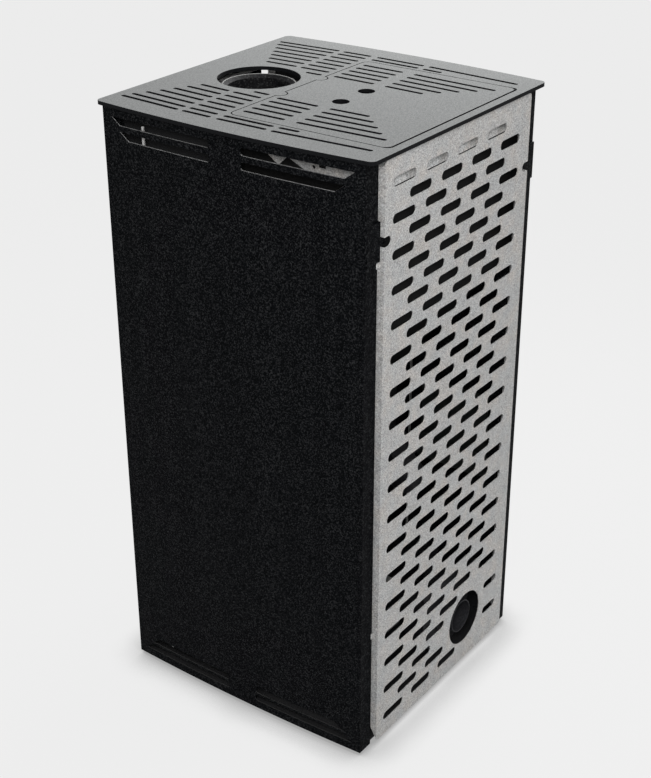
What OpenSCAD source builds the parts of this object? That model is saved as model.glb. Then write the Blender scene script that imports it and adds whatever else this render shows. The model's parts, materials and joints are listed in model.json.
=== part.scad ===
// Pellet stove: a bowed sheet casing, a plate top with a hopper lid and a pierced rear panel,
// and the works inside.
// X is the width, the front is -Y, the rear is +Y and Z is up.
// The origin is on the floor, below the middle of the top plate.

/* [Top plate and lid] */
// Height from the floor to the upper face of the top plate
stove_h = 1013; // [990:1:1040]
// Depth of the top plate from its front edge to its rear edge
top_d = 500; // [496:1:520]
// Width of the top plate across its corners
top_w = 475; // [473:1:500]
// How far each side edge of the top plate bows out
top_bow = 11.5; // [6:0.5:20]
// Thickness of the top plate and of the lid
top_t = 6; // [5:0.5:8]
// Corner radius of the top plate
top_corner_r = 10; // [4:1:20]
// Width of the plate beside the lid
lid_side = 61.2; // [58:0.1:66]
// Depth of the plate in front of the lid
lid_front_set = 205.3; // [198:0.1:212]
// Depth of the plate behind the lid
lid_back = 18.3; // [17:0.1:21]
// Corner radius of the lid
lid_corner_r = 12; // [4:1:20]
// Seam between the lid and the plate at the front and the sides
lid_gap = 1.7; // [1:0.1:3]
// Seam between the lid and the plate at the rear, where the lid swings
lid_rear_gap = 3.6; // [3:0.1:5]
// X of the two half-round locating tabs on the front seam
tab_x = 52; // [40:1:70]
// Radius of the locating tabs
tab_r = 10.8; // [6:0.2:14]
// Diameter of the two finger holes in the lid
finger_d = 26.3; // [22:0.1:32]
// X of the finger holes
finger_x = 33.6; // [25:0.1:42]
// Distance from the lid's front edge to the middle of the finger holes
finger_set = 97.7; // [92:0.1:103]
// Diameter of the lid's hinge pins
lid_pin_d = 4; // [3:0.1:4.4]
// Diameter of the hole in the plate round the flue
flue_hole_d = 131; // [122:1:138]
// Distance from the lid's front edge forward to the flue's centre
flue_set = 82.3; // [77:0.1:90]

/* [Air slots in the top] */
// Width of a slot
slot_w = 7; // [4:0.5:8]
// Spacing of the slot columns
slot_pitch = 20.2; // [19:0.1:21]
// Distance from the lid's side to the nearest column on the plate
slot_margin = 12.5; // [10:0.1:15]
// Spacing of the outermost column on the plate from its neighbour
slot_outer_pitch = 16.7; // [14:0.1:20]
// Distance from the lid's side to the nearest column on the lid
lid_slot_margin = 22.5; // [18:0.1:26]
// Distance from the plate's front edge to the outermost slot
slot_front_margin = 15.5; // [13:0.5:20]

/* [Casing] */
// How far the top plate reaches past the casing's corners at each side
over_side = 5; // [4:0.5:8]
// How far the top plate reaches past the casing in front
over_front = 9; // [6:0.5:12]
// How far the top plate reaches past the casing's rear flanges
over_rear = 15; // [14:0.5:18]
// How far each side panel bows out
case_bow = 6.5; // [4:0.5:9]
// Gap under the casing
foot_h = 6; // [5:1:12]
// Thickness of the painted sheets
sheet_t = 2; // [1.5:0.1:2.5]
// Width of the flange that each side panel turns round the rear corner
rear_flange_w = 29.5; // [26:0.5:30]
// Width of the flange that each side panel turns round the front corner
front_flange_w = 40; // [36:1:42]

/* [Louvres in the side panels] */
// Height of a louvre
louvre_h = 11.5; // [8:0.5:13]
// Spacing of the two louvre rows
louvre_pitch = 21.5; // [18:0.5:24]
// Distance from the casing's end to the middle of the first louvre
louvre_end = 21; // [18:0.5:24]
// Y of the inner ends of the rear louvres, and the same in front
louvre_in = 29; // [20:1:40]
// Distance from the casing's corner to where the longest louvre ends
louvre_margin = 18; // [14:1:32]
// How far the outer end of a louvre slants
louvre_slant = 16; // [8:1:20]

/* [Rear panel] */
// Seam between the rear panel and the flanges beside it
rear_seam = 2; // [1:0.5:4]
// How far the rear panel stands proud of the flanges
rear_proud = 10; // [8:0.5:12]
// Thickness of the galvanised sheets
galv_t = 1.5; // [1:0.1:2]
// Gap between the rear panel's top edge and the top plate
rear_top_gap = 1.5; // [1:0.5:4]
// Gap between the casing's lower end and the rear panel
rear_low_gap = 9; // [4:1:14]
// Length of a slot in the rear panel
vent_l = 58; // [50:1:62]
// Height of a slot in the rear panel
vent_h = 15; // [12:0.5:16]
// Spacing of the slots along a row
vent_pitch_x = 83.8; // [82:0.2:85]
// Spacing of the rows
vent_pitch_z = 27; // [25:0.5:28]
// Distance from the rear panel's top edge to the middle of the first row
vent_top = 37.5; // [34:0.5:42]
// Least distance from the panel's lower edge to the middle of the last row
vent_low = 30; // [26:1:60]
// How far the pattern of slots is shifted to one side
vent_shift = 5.25; // [3:0.05:7]
// Diameter of the air hole in the rear panel
air_hole_d = 99; // [90:1:104]
// X of the air hole
air_x = -71.2; // [-74:0.1:-68]
// Height of the air hole above the floor
air_z = 102; // [98:1:106]

/* [Hopper and feed] */
// Room between the hopper and the casing at each side
hopper_side = 37.5; // [35:0.5:42]
// Distance from the lid's front edge to the hopper's front wall
hopper_set = 6.7; // [5:0.1:9]
// Room between the hopper and the casing's rear flanges
hopper_back = 7; // [5:0.5:10]
// Height of the sloping part of the hopper
hopper_slope = 160; // [140:1:175]
// Diameter of the auger's flights
auger_d = 50; // [44:1:56]
// Slope of the auger
auger_angle = 45; // [42:1:48]
// Turns of the auger
auger_turns = 4; // [3:1:5]

/* [Fire chamber] */
// Room between the chamber and the casing at each side
chamber_side = 64.5; // [60:0.5:72]
// Gap between the chamber and the hopper
chamber_gap = 10; // [8:1:14]
// Room between the chamber and the top plate
chamber_above = 115; // [110:1:125]
// Height of the chamber's floor above the floor
chamber_z = 292; // [290:1:296]
// Thickness of the chamber's walls
chamber_t = 4; // [3:0.5:5]
// Width of the chamber's front beside its mouth
mouth_side = 18; // [16:1:22]
// Height of the chamber's front above and below its mouth
mouth_end = 35; // [32:1:42]
// Thickness of the lining plates
lining_t = 16; // [12:1:18]
// Outer diameter of the burn pot
pot_d = 92; // [80:1:96]
// Height of the burn pot
pot_h = 84; // [70:1:90]
// Wall of the burn pot
pot_t = 4; // [3:0.5:6]
// Distance from the chamber's rear wall to the middle of the burn pot
pot_set = 92; // [88:1:98]

/* [Door] */
// How far the door laps over the mouth at each side
door_lap = 38; // [34:1:42]
// How far the door laps over the mouth at its top and bottom
door_lap_end = 31; // [28:1:34]
// Thickness of the door
door_t = 14; // [13:1:16]
// How far the mouth reaches past the glass opening at each side
window_side = 15; // [13:1:25]
// How far the mouth reaches past the glass opening at its top and bottom
window_end = 20; // [14:1:30]
// Diameter of the hinge pins
hinge_pin_d = 8; // [6:0.5:9]
// Reach of the handle in front of the door
handle_reach = 44; // [38:1:60]
// Length of the handle's grip
handle_l = 120; // [90:1:140]

/* [Flue collar] */
// Bore of the flue socket
flue_bore_d = 101; // [96:0.5:103]
// Depth of the flue socket
flue_socket_l = 45; // [40:1:46]
// How far the rolled rim stands out round the bore
flue_rim_w = 8; // [6:0.5:9]
// How far the rim lies below the top plate's upper face
flue_drop = 9.5; // [9:0.5:14]

/* [Air inlet and fans] */
// Outer diameter of the air inlet spigot
inlet_d = 60; // [50:1:62]
// Length of the air inlet spigot
inlet_l = 32; // [30:1:34]
// Diameter of the combustion blower's scroll
blower_d = 150; // [140:1:154]
// Diameter of the blower's wheel
blower_wheel_d = 120; // [100:1:124]
// Diameter of the room fan's drum
drum_d = 60; // [50:1:62]
// Length of the room fan's drum
drum_l = 180; // [150:1:190]

/* [Ash drawer] */
// How far the chamber reaches past the drawer's box at each side
drawer_side = 28; // [26:1:36]
// Height of the ash drawer's box
drawer_h = 66; // [50:1:68]
// Room behind the drawer's box
drawer_back = 11.3; // [8:0.1:20]

/* [Hidden] */
$fn = 48;

// Finishes
black_paint = [0.10, 0.10, 0.11];
plate_grey = [0.42, 0.43, 0.44];
galvanised = [0.74, 0.72, 0.70];
dark_iron = [0.20, 0.20, 0.21];
lining_tan = [0.72, 0.66, 0.55];
plain_steel = [0.62, 0.63, 0.65];
glass_tint = [0.25, 0.27, 0.30, 0.5];
rope_grey = [0.35, 0.34, 0.33];
rubber_black = [0.07, 0.07, 0.07];
board_black = [0.10, 0.11, 0.10];

// Gaps: a seat beside a moving piece, a shaft in its hole, and a cut that runs past a face
seat_gap = 0.3;
shaft_gap = 0.1;
past = 1;

// Levels
plate_z = stove_h - top_t;
base_t = 3;
base_z = foot_h + 4;
base_top = base_z + base_t;
case_h = plate_z - foot_h;

// Plan of the top plate, the lid and the casing
lid_w = top_w - 2 * lid_side;
lid_front = lid_front_set - top_d / 2;
lid_rear = top_d / 2 - lid_back;
finger_y = lid_front + finger_set;
flue_y = lid_front - flue_set;
case_w = top_w - 2 * over_side;
case_front = top_d / 2 - over_front;
case_rear = top_d / 2 - over_rear;

// Radius of the arc with a given chord and bow
function bow_r(chord, bow) = chord * chord / (8 * bow) + bow / 2;
// Points along an arc, with both ends or without them
function arc(cx, cy, r, a0, a1, n, cut = 0) =
  [for (i = [cut : n - cut]) let (a = a0 + (a1 - a0) * i / n) [cx + r * cos(a), cy + r * sin(a)]];

// Bowed sides of the top plate and of the casing
top_r = bow_r(top_d, top_bow);
top_cx = top_w / 2 + top_bow - top_r;
case_mid_y = (case_rear - case_front) / 2;
case_half_d = (case_rear + case_front) / 2;
case_r = bow_r(2 * case_half_d, case_bow);
case_cx = case_w / 2 + case_bow - case_r;
function case_x(y, inset = 0) = case_cx + sqrt(pow(case_r - inset, 2) - pow(y - case_mid_y, 2));

// Slot rows on the top plate, front to rear
slot_columns = 7;
slot_inner_x = lid_w / 2 + slot_margin;
slot_x = slot_inner_x - (slot_columns - 1) * slot_pitch;
slot_outer_x = slot_inner_x + slot_outer_pitch;
slot_bridge = 8.3;
flue_bridge = 3;
row_c = [lid_front - 64.3, lid_front - 10.3];
row_b = [row_c[1] + slot_bridge + slot_w / 2, row_c[1] + 101.5];
row_a = [row_b[1] + slot_bridge + 1, row_b[1] + 175];
row_d_rear = row_c[0] - slot_bridge;
row_d_first_l = 58.2;
row_d_outer_l = row_d_rear + top_d / 2 - slot_front_margin;
row_d_step = (row_d_outer_l + 4 - row_d_first_l) / (slot_columns - 1);
// Slot groups on the lid
lid_columns = 5;
lid_slot_x = lid_w / 2 - lid_slot_margin - (lid_columns - 1) * slot_pitch;
lid_row_front = [lid_front + 9.7, finger_y - 13];
lid_row_rear_y = finger_y + 8;
lid_row_rear_margin = 20.9;
lid_row_rear_l = lid_rear - lid_row_rear_margin - lid_row_rear_y - (lid_columns - 1) * slot_pitch;
lid_slot_r = 3600;

// Rear panel
rear_w = case_w - 2 * (rear_flange_w + rear_seam);
rear_face = case_rear + rear_proud;
rear_z0 = foot_h + rear_low_gap;
rear_z1 = plate_z - rear_top_gap;
rear_corner_r = 8;
rear_return_d = 20;
upright_y = rear_face - rear_return_d - 2;
vent_rows = 1 + floor((rear_z1 - rear_z0 - vent_top - vent_low) / vent_pitch_z);
vent_edge = 12;
vent_rim = 1;
short_vent_l = 43;
short_vent_x = air_x - 84.7;
catch_row = 3;
catch_z = rear_z1 - vent_top - catch_row * vent_pitch_z;
catch_h = 59;
catch_reach = 16.5;
ear_w = 5;
ear_h = 10;
ear_low_z = 218;

// Front
front_x = case_w / 2 - front_flange_w - 0.5;
chamber_w = case_w - 2 * chamber_side;
chamber_h = plate_z - chamber_above - chamber_z;
mouth_w = chamber_w - 2 * mouth_side;
mouth_h = chamber_h - 2 * mouth_end;
door_w = mouth_w + 2 * door_lap;
door_h = mouth_h + 2 * door_lap_end;
window_w = mouth_w - 2 * window_side;
window_h = mouth_h - 2 * window_end;
door_zc = chamber_z + chamber_h / 2;
door_z0 = door_zc - door_h / 2;
door_z1 = door_zc + door_h / 2;
door_back = -case_front - 1;
door_face = door_back - door_t;
row_gap = 5;
header_z0 = door_z1 + row_gap;
outlet_out = front_x - 4;
outlet_in = outlet_out - 39;
outlet_h = 56;
fascia_w = 2 * (outlet_in - 3);
fascia_h = 58;
fascia_z = header_z0 + 54;
fascia_t = 5;
drawer_front_z1 = door_z0 - row_gap;
drawer_front_h = 85;
drawer_front_z0 = drawer_front_z1 - drawer_front_h;
low_front_z0 = foot_h + 6;
low_front_z1 = drawer_front_z0 - row_gap;

// Chamber
hopper_w = case_w - 2 * hopper_side;
hopper_front = lid_front + hopper_set;
hopper_rear = case_rear - hopper_back;
chamber_front = -case_front + sheet_t;
chamber_rear = hopper_front - chamber_gap;
flange_w = chamber_w + 64;
mouth_z0 = door_zc - mouth_h / 2;
chamber_floor = chamber_z + chamber_t;
chamber_top = chamber_z + chamber_h;
chamber_in = chamber_w / 2 - chamber_t;
lining_h = chamber_h - 116;
flue_duct_r = flue_bore_d / 2 + 2;
pot_y = chamber_rear - pot_set;
pot_flange_r = pot_d / 2 + 4;
air_box_w = 2 * pot_flange_r;
air_box_h = 40;
air_box_z = chamber_floor + air_box_h;
air_box_front = pot_y - pot_flange_r - 5;
air_box_rear = chamber_rear - 12;
pot_z1 = air_box_z + 42;
igniter_z = air_box_z + 22;
igniter_tube_d = 22;
igniter_d = 16;

// Feed: the auger runs up and forward from its low end to a fixed place above the chute
auger_rear_room = 120;
auger_low_y = rear_face - auger_rear_room;
auger_run = auger_low_y - chamber_rear - 43;
auger_top_z = pot_z1 + 187;
auger_low_z = auger_top_z - auger_run * tan(auger_angle);
auger_l = auger_run / cos(auger_angle);
auger_shaft_d = 12;
auger_tube_t = 3;
auger_gap = 3;
auger_tube_d = auger_d + 2 * (auger_gap + auger_tube_t);
throat_y = [auger_low_y - 69, auger_low_y - 5];
throat_x = auger_tube_d / 2 + 1;
throat_rise = 140;
throat_top = auger_low_z + throat_rise;
hopper_bend_z = throat_top + hopper_slope;
hopper_top = plate_z - 2;
hopper_t = 1.5;
chute_w = 54;
chute_t = 2;
chute_lip = [chamber_rear - 40, pot_z1 + 5];
chute_mouth = [60, 116];
chute_top_z = auger_top_z - 32;
chute_slope = 40;
chute_rise = 60;

// Flue
flue_rim_z = stove_h - flue_drop;
flue_flare = 5;
flue_stop = 4;
collar_z0 = flue_rim_z - flue_flare - flue_socket_l - flue_stop;

// Combustion air
blower_w = 40;
spigot_end = rear_face - 7;
blower_rear = spigot_end - inlet_l + 2;
blower_front = blower_rear - blower_w;
blower_t = 2;
duct_w = 40;
duct_x = air_x + 35;
duct_low_z = 210;
blower_top_z = air_z + 83;
motor_shaft_d = 8;

// Room fan
fan_y = [blower_front - 148, blower_front - 73];
fan_h = 90;
drum_y = fan_y[0] + 38;
drum_z = base_top + 47;
fan_half = drum_l / 2 + 8;
fan_shaft_d = 6;

// Door details
hinge_x = door_w / 2 + 8;
hinge_y = door_back - 7;
knuckle_r = 7.5;
knuckle_l = 30;
knuckle_inset = 54;
handle_x = -(door_w / 2 - 10);
spindle_d = 10;
handle_swing = 45;
nose_l = 16;
nose_w = 9;
gasket_in = 3;
gasket_w = 10;
glass_t = 4;
glass_lap = 10;
ash_z0 = drawer_front_z0 + 4;

// Controls
button_d = 14;
button_gap = 0.2;
button_collar_d = 18;
button_end = fascia_w / 2 - 34;
button_x = [-button_end, button_end - 24, button_end];
inlet_y = case_rear - 65;
inlet_z = 80;

module block(lo, hi) {
  translate(lo) cube(hi - lo);
}

module both_sides() {
  children();
  mirror([1, 0, 0]) children();
}

module round_rect(w, h, r) {
  square([w - 2 * r, h], center = true);
  square([w, h - 2 * r], center = true);
  for (sx = [-1, 1], sy = [-1, 1]) translate([sx * (w / 2 - r), sy * (h / 2 - r)]) circle(r = r);
}

module obround(l, h) {
  square([l - h, h], center = true);
  for (s = [-1, 1]) translate([s * (l - h) / 2, 0]) circle(d = h, $fn = 32);
}

// A flat shape drawn in X and Z, from one Y to another
module along_y(y0, y1) {
  translate([0, y1, 0]) rotate([90, 0, 0]) linear_extrude(y1 - y0) children();
}

// A flat shape drawn in Y and Z, from one X to another
module along_x(x0, x1) {
  translate([x0, 0, 0]) rotate([90, 0, 90]) linear_extrude(x1 - x0) children();
}

module rod_y(x, z, y0, y1, d) {
  translate([x, y1, z]) rotate([90, 0, 0]) cylinder(d = d, h = y1 - y0);
}

module rod_x(y, z, x0, x1, d) {
  translate([x0, y, z]) rotate([0, 90, 0]) cylinder(d = d, h = x1 - x0);
}

// Top plate and lid
module top_outline() {
  ry = top_d / 2 - top_corner_r;
  cx = top_cx + sqrt(pow(top_r - top_corner_r, 2) - ry * ry);
  turn = asin(ry / (top_r - top_corner_r));
  right = concat(
    arc(cx, -ry, top_corner_r, -90, -turn, 8),
    arc(top_cx, 0, top_r, -turn, turn, 24, 1),
    arc(cx, ry, top_corner_r, turn, 90, 8)
  );
  polygon(concat(right, [for (i = [len(right) - 1 : -1 : 0]) [-right[i][0], right[i][1]]]));
}

// A slot along Y that follows a bowed side of radius r
module top_slot(x, ys, r) {
  mid = (ys[0] + ys[1]) / 2;
  l = ys[1] - ys[0];
  translate([x - r + sqrt(r * r - mid * mid), mid]) rotate(asin(mid / r) + 90) obround(l, slot_w);
}

// Y where a slot at x clears the hole round the flue
function past_flue(x) =
  flue_y + sqrt(max(0, pow(flue_hole_d / 2 + flue_bridge, 2) - pow(x - slot_w / 2, 2)));

module plate_slots() {
  short_l = 29.5;
  for (k = [0 : slot_columns - 1]) {
    x = slot_x + k * slot_pitch;
    beside_flue = x - slot_w / 2 < flue_hole_d / 2 + flue_bridge;
    y0 = beside_flue ? max(row_c[1] - short_l, past_flue(x)) : row_c[0];
    if (y0 + slot_w < row_c[1]) top_slot(x, [y0, row_c[1]], top_r);
    if (!beside_flue) top_slot(x, [row_d_rear - row_d_first_l - row_d_step * (k - 1), row_d_rear], top_r);
  }
  top_slot(slot_inner_x, row_b, top_r);
  top_slot(slot_inner_x, [row_a[0], row_a[0] + 35], top_r);
  top_slot(slot_outer_x, row_a, top_r);
  top_slot(slot_outer_x, row_b, top_r);
  top_slot(slot_outer_x, row_c, top_r);
  top_slot(slot_outer_x, [row_d_rear - row_d_outer_l, row_d_rear], top_r);
}

module lid_slots() {
  for (k = [0 : lid_columns - 1]) {
    x = lid_slot_x + k * slot_pitch;
    if (x > finger_x + finger_d / 2 + slot_w) {
      top_slot(x, lid_row_front, lid_slot_r);
      top_slot(x, [lid_row_rear_y, lid_row_rear_y + lid_row_rear_l + k * slot_pitch], lid_slot_r);
    }
  }
}

lid_pin_y = lid_rear - 3;
lid_pin_z = plate_z + top_t / 2;
lid_pin_in = 14;
lid_pin_out = 8;

module lid_outline() {
  translate([0, (lid_front + lid_rear) / 2]) round_rect(lid_w, lid_rear - lid_front, lid_corner_r);
}

// The opening for the lid; its rear corners are squarer, so that the lid's corners swing clear
module lid_opening() {
  rear_r = lid_corner_r - 2;
  front_d = lid_rear - lid_front + lid_gap;
  rear_d = 4 * lid_corner_r;
  translate([0, lid_front - lid_gap + front_d / 2])
    round_rect(lid_w + 2 * lid_gap, front_d, lid_corner_r + lid_gap);
  translate([0, lid_rear + lid_rear_gap - rear_d / 2]) round_rect(lid_w + 2 * lid_gap, rear_d, rear_r);
}

module tab_circles(r) {
  for (s = [-1, 1]) translate([s * tab_x, lid_front - lid_gap]) circle(r = r);
}

module top_plate() {
  color(plate_grey) difference() {
    translate([0, 0, plate_z]) linear_extrude(top_t) difference() {
      top_outline();
      difference() {
        lid_opening();
        tab_circles(tab_r);
      }
      translate([0, flue_y]) circle(d = flue_hole_d, $fn = 96);
      plate_slots();
      mirror([1, 0]) plate_slots();
    }
    x0 = lid_w / 2 - lid_pin_d;
    x1 = lid_w / 2 + lid_gap + lid_pin_out + 0.5;
    both_sides() rod_x(lid_pin_y, lid_pin_z, x0, x1, lid_pin_d + shaft_gap);
  }
}

module hopper_lid() {
  color(plate_grey) difference() {
    translate([0, 0, plate_z]) linear_extrude(top_t) difference() {
      lid_outline();
      tab_circles(tab_r + lid_gap);
      for (s = [-1, 1]) translate([s * finger_x, finger_y]) circle(d = finger_d);
      lid_slots();
      mirror([1, 0]) lid_slots();
    }
    both_sides() rod_x(lid_pin_y, lid_pin_z, lid_w / 2 - lid_pin_in, lid_w / 2 + past, lid_pin_d);
  }
}

module lid_hinge_pins() {
  color(plain_steel) both_sides()
    rod_x(lid_pin_y, lid_pin_z, lid_w / 2 - lid_pin_in, lid_w / 2 + lid_gap + lid_pin_out, lid_pin_d);
}

// Casing
module base_outline() {
  turn = asin((case_half_d - sheet_t) / (case_r - sheet_t));
  right = arc(case_cx, case_mid_y, case_r - sheet_t, -turn, turn, 24);
  polygon(concat(right, [for (i = [len(right) - 1 : -1 : 0]) [-right[i][0], right[i][1]]]));
}

module base_plate() {
  curb_x = case_w / 2 - 15;
  curb_z = foot_h + louvre_end + louvre_h / 2 + 6;
  color(black_paint) {
    translate([0, 0, base_z]) linear_extrude(base_t) base_outline();
    both_sides() block([curb_x, 0, base_top + seat_gap], [curb_x + 1.5, rear_face - 45, curb_z]);
  }
}

module feet() {
  foot_d = 36;
  foot_x = case_w / 2 - 42.5;
  foot_y = top_d / 2 - 50;
  color(rubber_black) both_sides() for (y = [-foot_y, foot_y])
    translate([foot_x, y, 0]) cylinder(d = foot_d, h = base_z);
}

// Outline of a side panel in plan, with its front and rear flanges
module side_outline() {
  outer_turn = asin(case_half_d / case_r);
  inner_turn = asin((case_half_d - sheet_t) / (case_r - sheet_t));
  outer = arc(case_cx, case_mid_y, case_r, -outer_turn, outer_turn, 24);
  inner = arc(case_cx, case_mid_y, case_r - sheet_t, inner_turn, -inner_turn, 24);
  polygon(concat(
    outer,
    [[case_w / 2 - rear_flange_w, case_rear], [case_w / 2 - rear_flange_w, case_rear - sheet_t]],
    inner,
    [[case_w / 2 - front_flange_w, -case_front + sheet_t], [case_w / 2 - front_flange_w, -case_front]]
  ));
}

// The lip under the top plate
module side_lip_outline() {
  lip_w = 14;
  outer_turn = asin((case_half_d - sheet_t) / (case_r - sheet_t));
  inner_turn = asin((case_half_d - sheet_t) / (case_r - sheet_t - lip_w));
  polygon(concat(
    arc(case_cx, case_mid_y, case_r - sheet_t, -outer_turn, outer_turn, 24),
    arc(case_cx, case_mid_y, case_r - sheet_t - lip_w, inner_turn, -inner_turn, 24)
  ));
}

// One louvre, longer at its wide edge; up is 1 when the wide edge is the upper one
module louvre(y_out, up) {
  lead = 2;
  h = louvre_h / 2;
  polygon([
    [louvre_in, up * (h - lead)], [louvre_in, -up * (h - lead)], [louvre_in + lead, -up * h],
    [y_out - louvre_slant, -up * h], [y_out, up * h], [louvre_in + lead, up * h]
  ]);
}

louvre_out = case_half_d - louvre_margin;
louvre_low_pitch = louvre_pitch - 4.9;

module louvres() {
  for (k = [0, 1], m = [0, 1]) along_x(0, case_w) translate([case_mid_y, 0]) mirror([m, 0]) {
    out = louvre_out - k * louvre_slant;
    translate([0, plate_z - louvre_end - k * louvre_pitch]) louvre(out, 1);
    translate([0, foot_h + louvre_end + k * louvre_low_pitch]) louvre(out, -1);
  }
}

module side_panel_right() {
  color(black_paint) difference() {
    union() {
      translate([0, 0, foot_h]) linear_extrude(case_h) side_outline();
      translate([0, 0, plate_z - sheet_t]) linear_extrude(sheet_t) side_lip_outline();
    }
    louvres();
  }
}

module side_panel_left() {
  inlet_w = 46;
  inlet_h = 56;
  color(black_paint) difference() {
    mirror([1, 0, 0]) side_panel_right();
    block([-case_w, inlet_y - inlet_w / 2, inlet_z - inlet_h / 2],
      [-case_w / 4, inlet_y + inlet_w / 2, inlet_z + inlet_h / 2]);
  }
}

// Stiffening ribs inside the side panels
module side_ribs() {
  rib_w = 3;
  rib_d = 3;
  rib_z = [foot_h + louvre_end + louvre_low_pitch + 3, plate_z - louvre_end + 0.5];
  rib_set = [79, 260];
  color(galvanised) both_sides() for (set = rib_set) {
    y = set - case_front;
    x = min(case_x(y - rib_w / 2, sheet_t), case_x(y + rib_w / 2, sheet_t)) - 0.05;
    block([x - rib_d, y - rib_w / 2, rib_z[0]], [x, y + rib_w / 2, rib_z[1]]);
  }
}

module support_legs() {
  leg = 20;
  color(black_paint) both_sides() for (y = [chamber_front + 3, air_box_rear - leg]) {
    block([chamber_w / 2 - 3, y, base_top], [chamber_w / 2, y + leg, chamber_z]);
    block([chamber_w / 2 - leg, y, base_top], [chamber_w / 2, y + 3, chamber_z]);
  }
}

module rear_uprights() {
  leg = 20;
  x = hopper_w / 2;
  z1 = plate_z - 67;
  color(black_paint) both_sides() {
    block([x, upright_y - leg, base_top], [x + sheet_t, upright_y + sheet_t, z1]);
    block([x, upright_y, base_top], [x + leg, upright_y + sheet_t, z1]);
  }
}

// Rear panel
function vent_clear(x, z) =
  norm([max(abs(x - air_x) - vent_l / 2, 0), max(abs(z - air_z) - vent_h / 2, 0)])
  > air_hole_d / 2 + vent_rim;

function on_panel(x, l) = abs(x) + l / 2 < rear_w / 2 - vent_edge;

module vents() {
  for (row = [0 : vent_rows - 1], col = [-3 : 2]) {
    x = vent_shift + (col + (row % 2 == 0 ? 0.75 : 0.25)) * vent_pitch_x;
    z = rear_z1 - vent_top - row * vent_pitch_z;
    left_of_hole = row % 2 == 1 && x < air_x - air_hole_d / 2 && on_panel(short_vent_x, short_vent_l);
    if (on_panel(x, vent_l) && vent_clear(x, z)) translate([x, z]) obround(vent_l, vent_h);
    else if (on_panel(x, vent_l) && left_of_hole)
      translate([short_vent_x, z]) obround(short_vent_l, vent_h - 1);
  }
}

module rear_panel() {
  x1 = rear_w / 2;
  y0 = rear_face - rear_return_d;
  color(galvanised) difference() {
    union() {
      along_y(rear_face - galv_t, rear_face) difference() {
        translate([0, (rear_z0 + rear_z1) / 2]) round_rect(rear_w, rear_z1 - rear_z0, rear_corner_r);
        vents();
        translate([air_x, air_z]) circle(d = air_hole_d, $fn = 96);
      }
      both_sides() along_x(x1 - galv_t, x1) polygon([
        [y0, rear_z0 + 40], [rear_face - galv_t - 1, rear_z0 + rear_corner_r],
          [rear_face, rear_z0 + rear_corner_r],
        [rear_face, rear_z1 - rear_corner_r],
          [rear_face - galv_t - 1, rear_z1 - rear_corner_r], [y0, rear_z1 - 26]
      ]);
      both_sides() for (z = [catch_z - catch_h / 2 - ear_h, ear_low_z])
        block([x1 - galv_t, case_rear, z], [x1 + ear_w, case_rear + galv_t, z + ear_h]);
    }
    both_sides() {
      along_y(y0 - past, rear_face + past)
        translate([x1 + vent_l / 2 - catch_reach, catch_z]) obround(vent_l, vent_h);
      block([x1 - galv_t - past, y0 - past, catch_z - catch_h / 2 - seat_gap],
        [x1 + past, case_rear + 3, catch_z + catch_h / 2 + seat_gap]);
    }
  }
}

// Catches that hold the rear panel at its upper corners
module panel_catches() {
  x1 = rear_w / 2;
  color(black_paint) both_sides() {
    block([x1 - galv_t - 6, case_rear, catch_z - catch_h / 2],
      [case_w / 2, case_rear + 2.7, catch_z + catch_h / 2]);
    block([x1 - catch_reach + 6, case_rear, catch_z - vent_h / 2 + 2],
      [x1 - galv_t - 6, case_rear + 5, catch_z + vent_h / 2 - 2]);
  }
}

// Front sheets
module front_sheet(z0, z1) {
  ear = 10;
  block([-front_x, -case_front, z0], [front_x, -case_front + sheet_t, z1]);
  both_sides() block([front_x - sheet_t, -case_front + sheet_t, z0 + ear],
    [front_x + ear, -case_front + 2 * sheet_t, z1 - ear]);
}

// Front sheet round the controls; its two cheeks lead the warm air to the outlets
module front_header() {
  cheek_rear = chamber_rear - 14;
  color(black_paint) difference() {
    union() {
      front_sheet(header_z0, plate_z - 1);
      both_sides() block([front_x - sheet_t, -case_front, header_z0], [front_x, cheek_rear, plate_z - 3]);
      block([-front_x + 20, -case_front, plate_z - sheet_t], [front_x - 20, -case_front + 16, plate_z]);
    }
    both_sides() block([outlet_in, -case_front - past, fascia_z - outlet_h / 2],
      [outlet_out, -case_front + 2 * sheet_t + past, fascia_z + outlet_h / 2]);
    block([-fascia_w / 2 + 12, -case_front - past, fascia_z - fascia_h / 2 + 6],
      [fascia_w / 2 - 12, -case_front + sheet_t + past, fascia_z + fascia_h / 2 - 6]);
  }
}

module header_rail() {
  y0 = -case_front + sheet_t;
  z1 = fascia_z + outlet_h / 2 + 12;
  color(galvanised) {
    block([-outlet_out + 4, y0, z1 - 10], [outlet_out - 4, y0 + galv_t, z1]);
    block([-outlet_out + 4, y0, z1 - galv_t], [outlet_out - 4, y0 + 12, z1]);
    both_sides() block([outlet_out - 22, y0, z1 - 36], [outlet_out - 4, y0 + galv_t, z1 - 10]);
  }
}

module lower_front_panel() {
  color(black_paint) union() {
    front_sheet(low_front_z0, low_front_z1);
    block([-front_x, -case_front - 8, low_front_z1 - sheet_t], [front_x, -case_front, low_front_z1]);
  }
}

// Hopper: a box, a funnel cut from two wedges, and a throat that sits on the auger tube
module hopper_form(inset, top_past) {
  w = hopper_w / 2 - inset;
  tx = throat_x - inset;
  intersection() {
    along_y(hopper_front + inset, hopper_rear - inset) polygon([
      [-w, hopper_top + top_past], [-w, hopper_bend_z], [-tx, throat_top],
      [tx, throat_top], [w, hopper_bend_z], [w, hopper_top + top_past]
    ]);
    along_x(-w, w) polygon([
      [hopper_front + inset, hopper_top + top_past], [hopper_front + inset, hopper_bend_z],
      [throat_y[0] + inset, throat_top], [throat_y[1] - inset, throat_top],
      [hopper_rear - inset, hopper_bend_z], [hopper_rear - inset, hopper_top + top_past]
    ]);
  }
}

module in_auger_frame() {
  translate([0, auger_low_y, auger_low_z]) rotate([auger_angle, 0, 0]) children();
}

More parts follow.
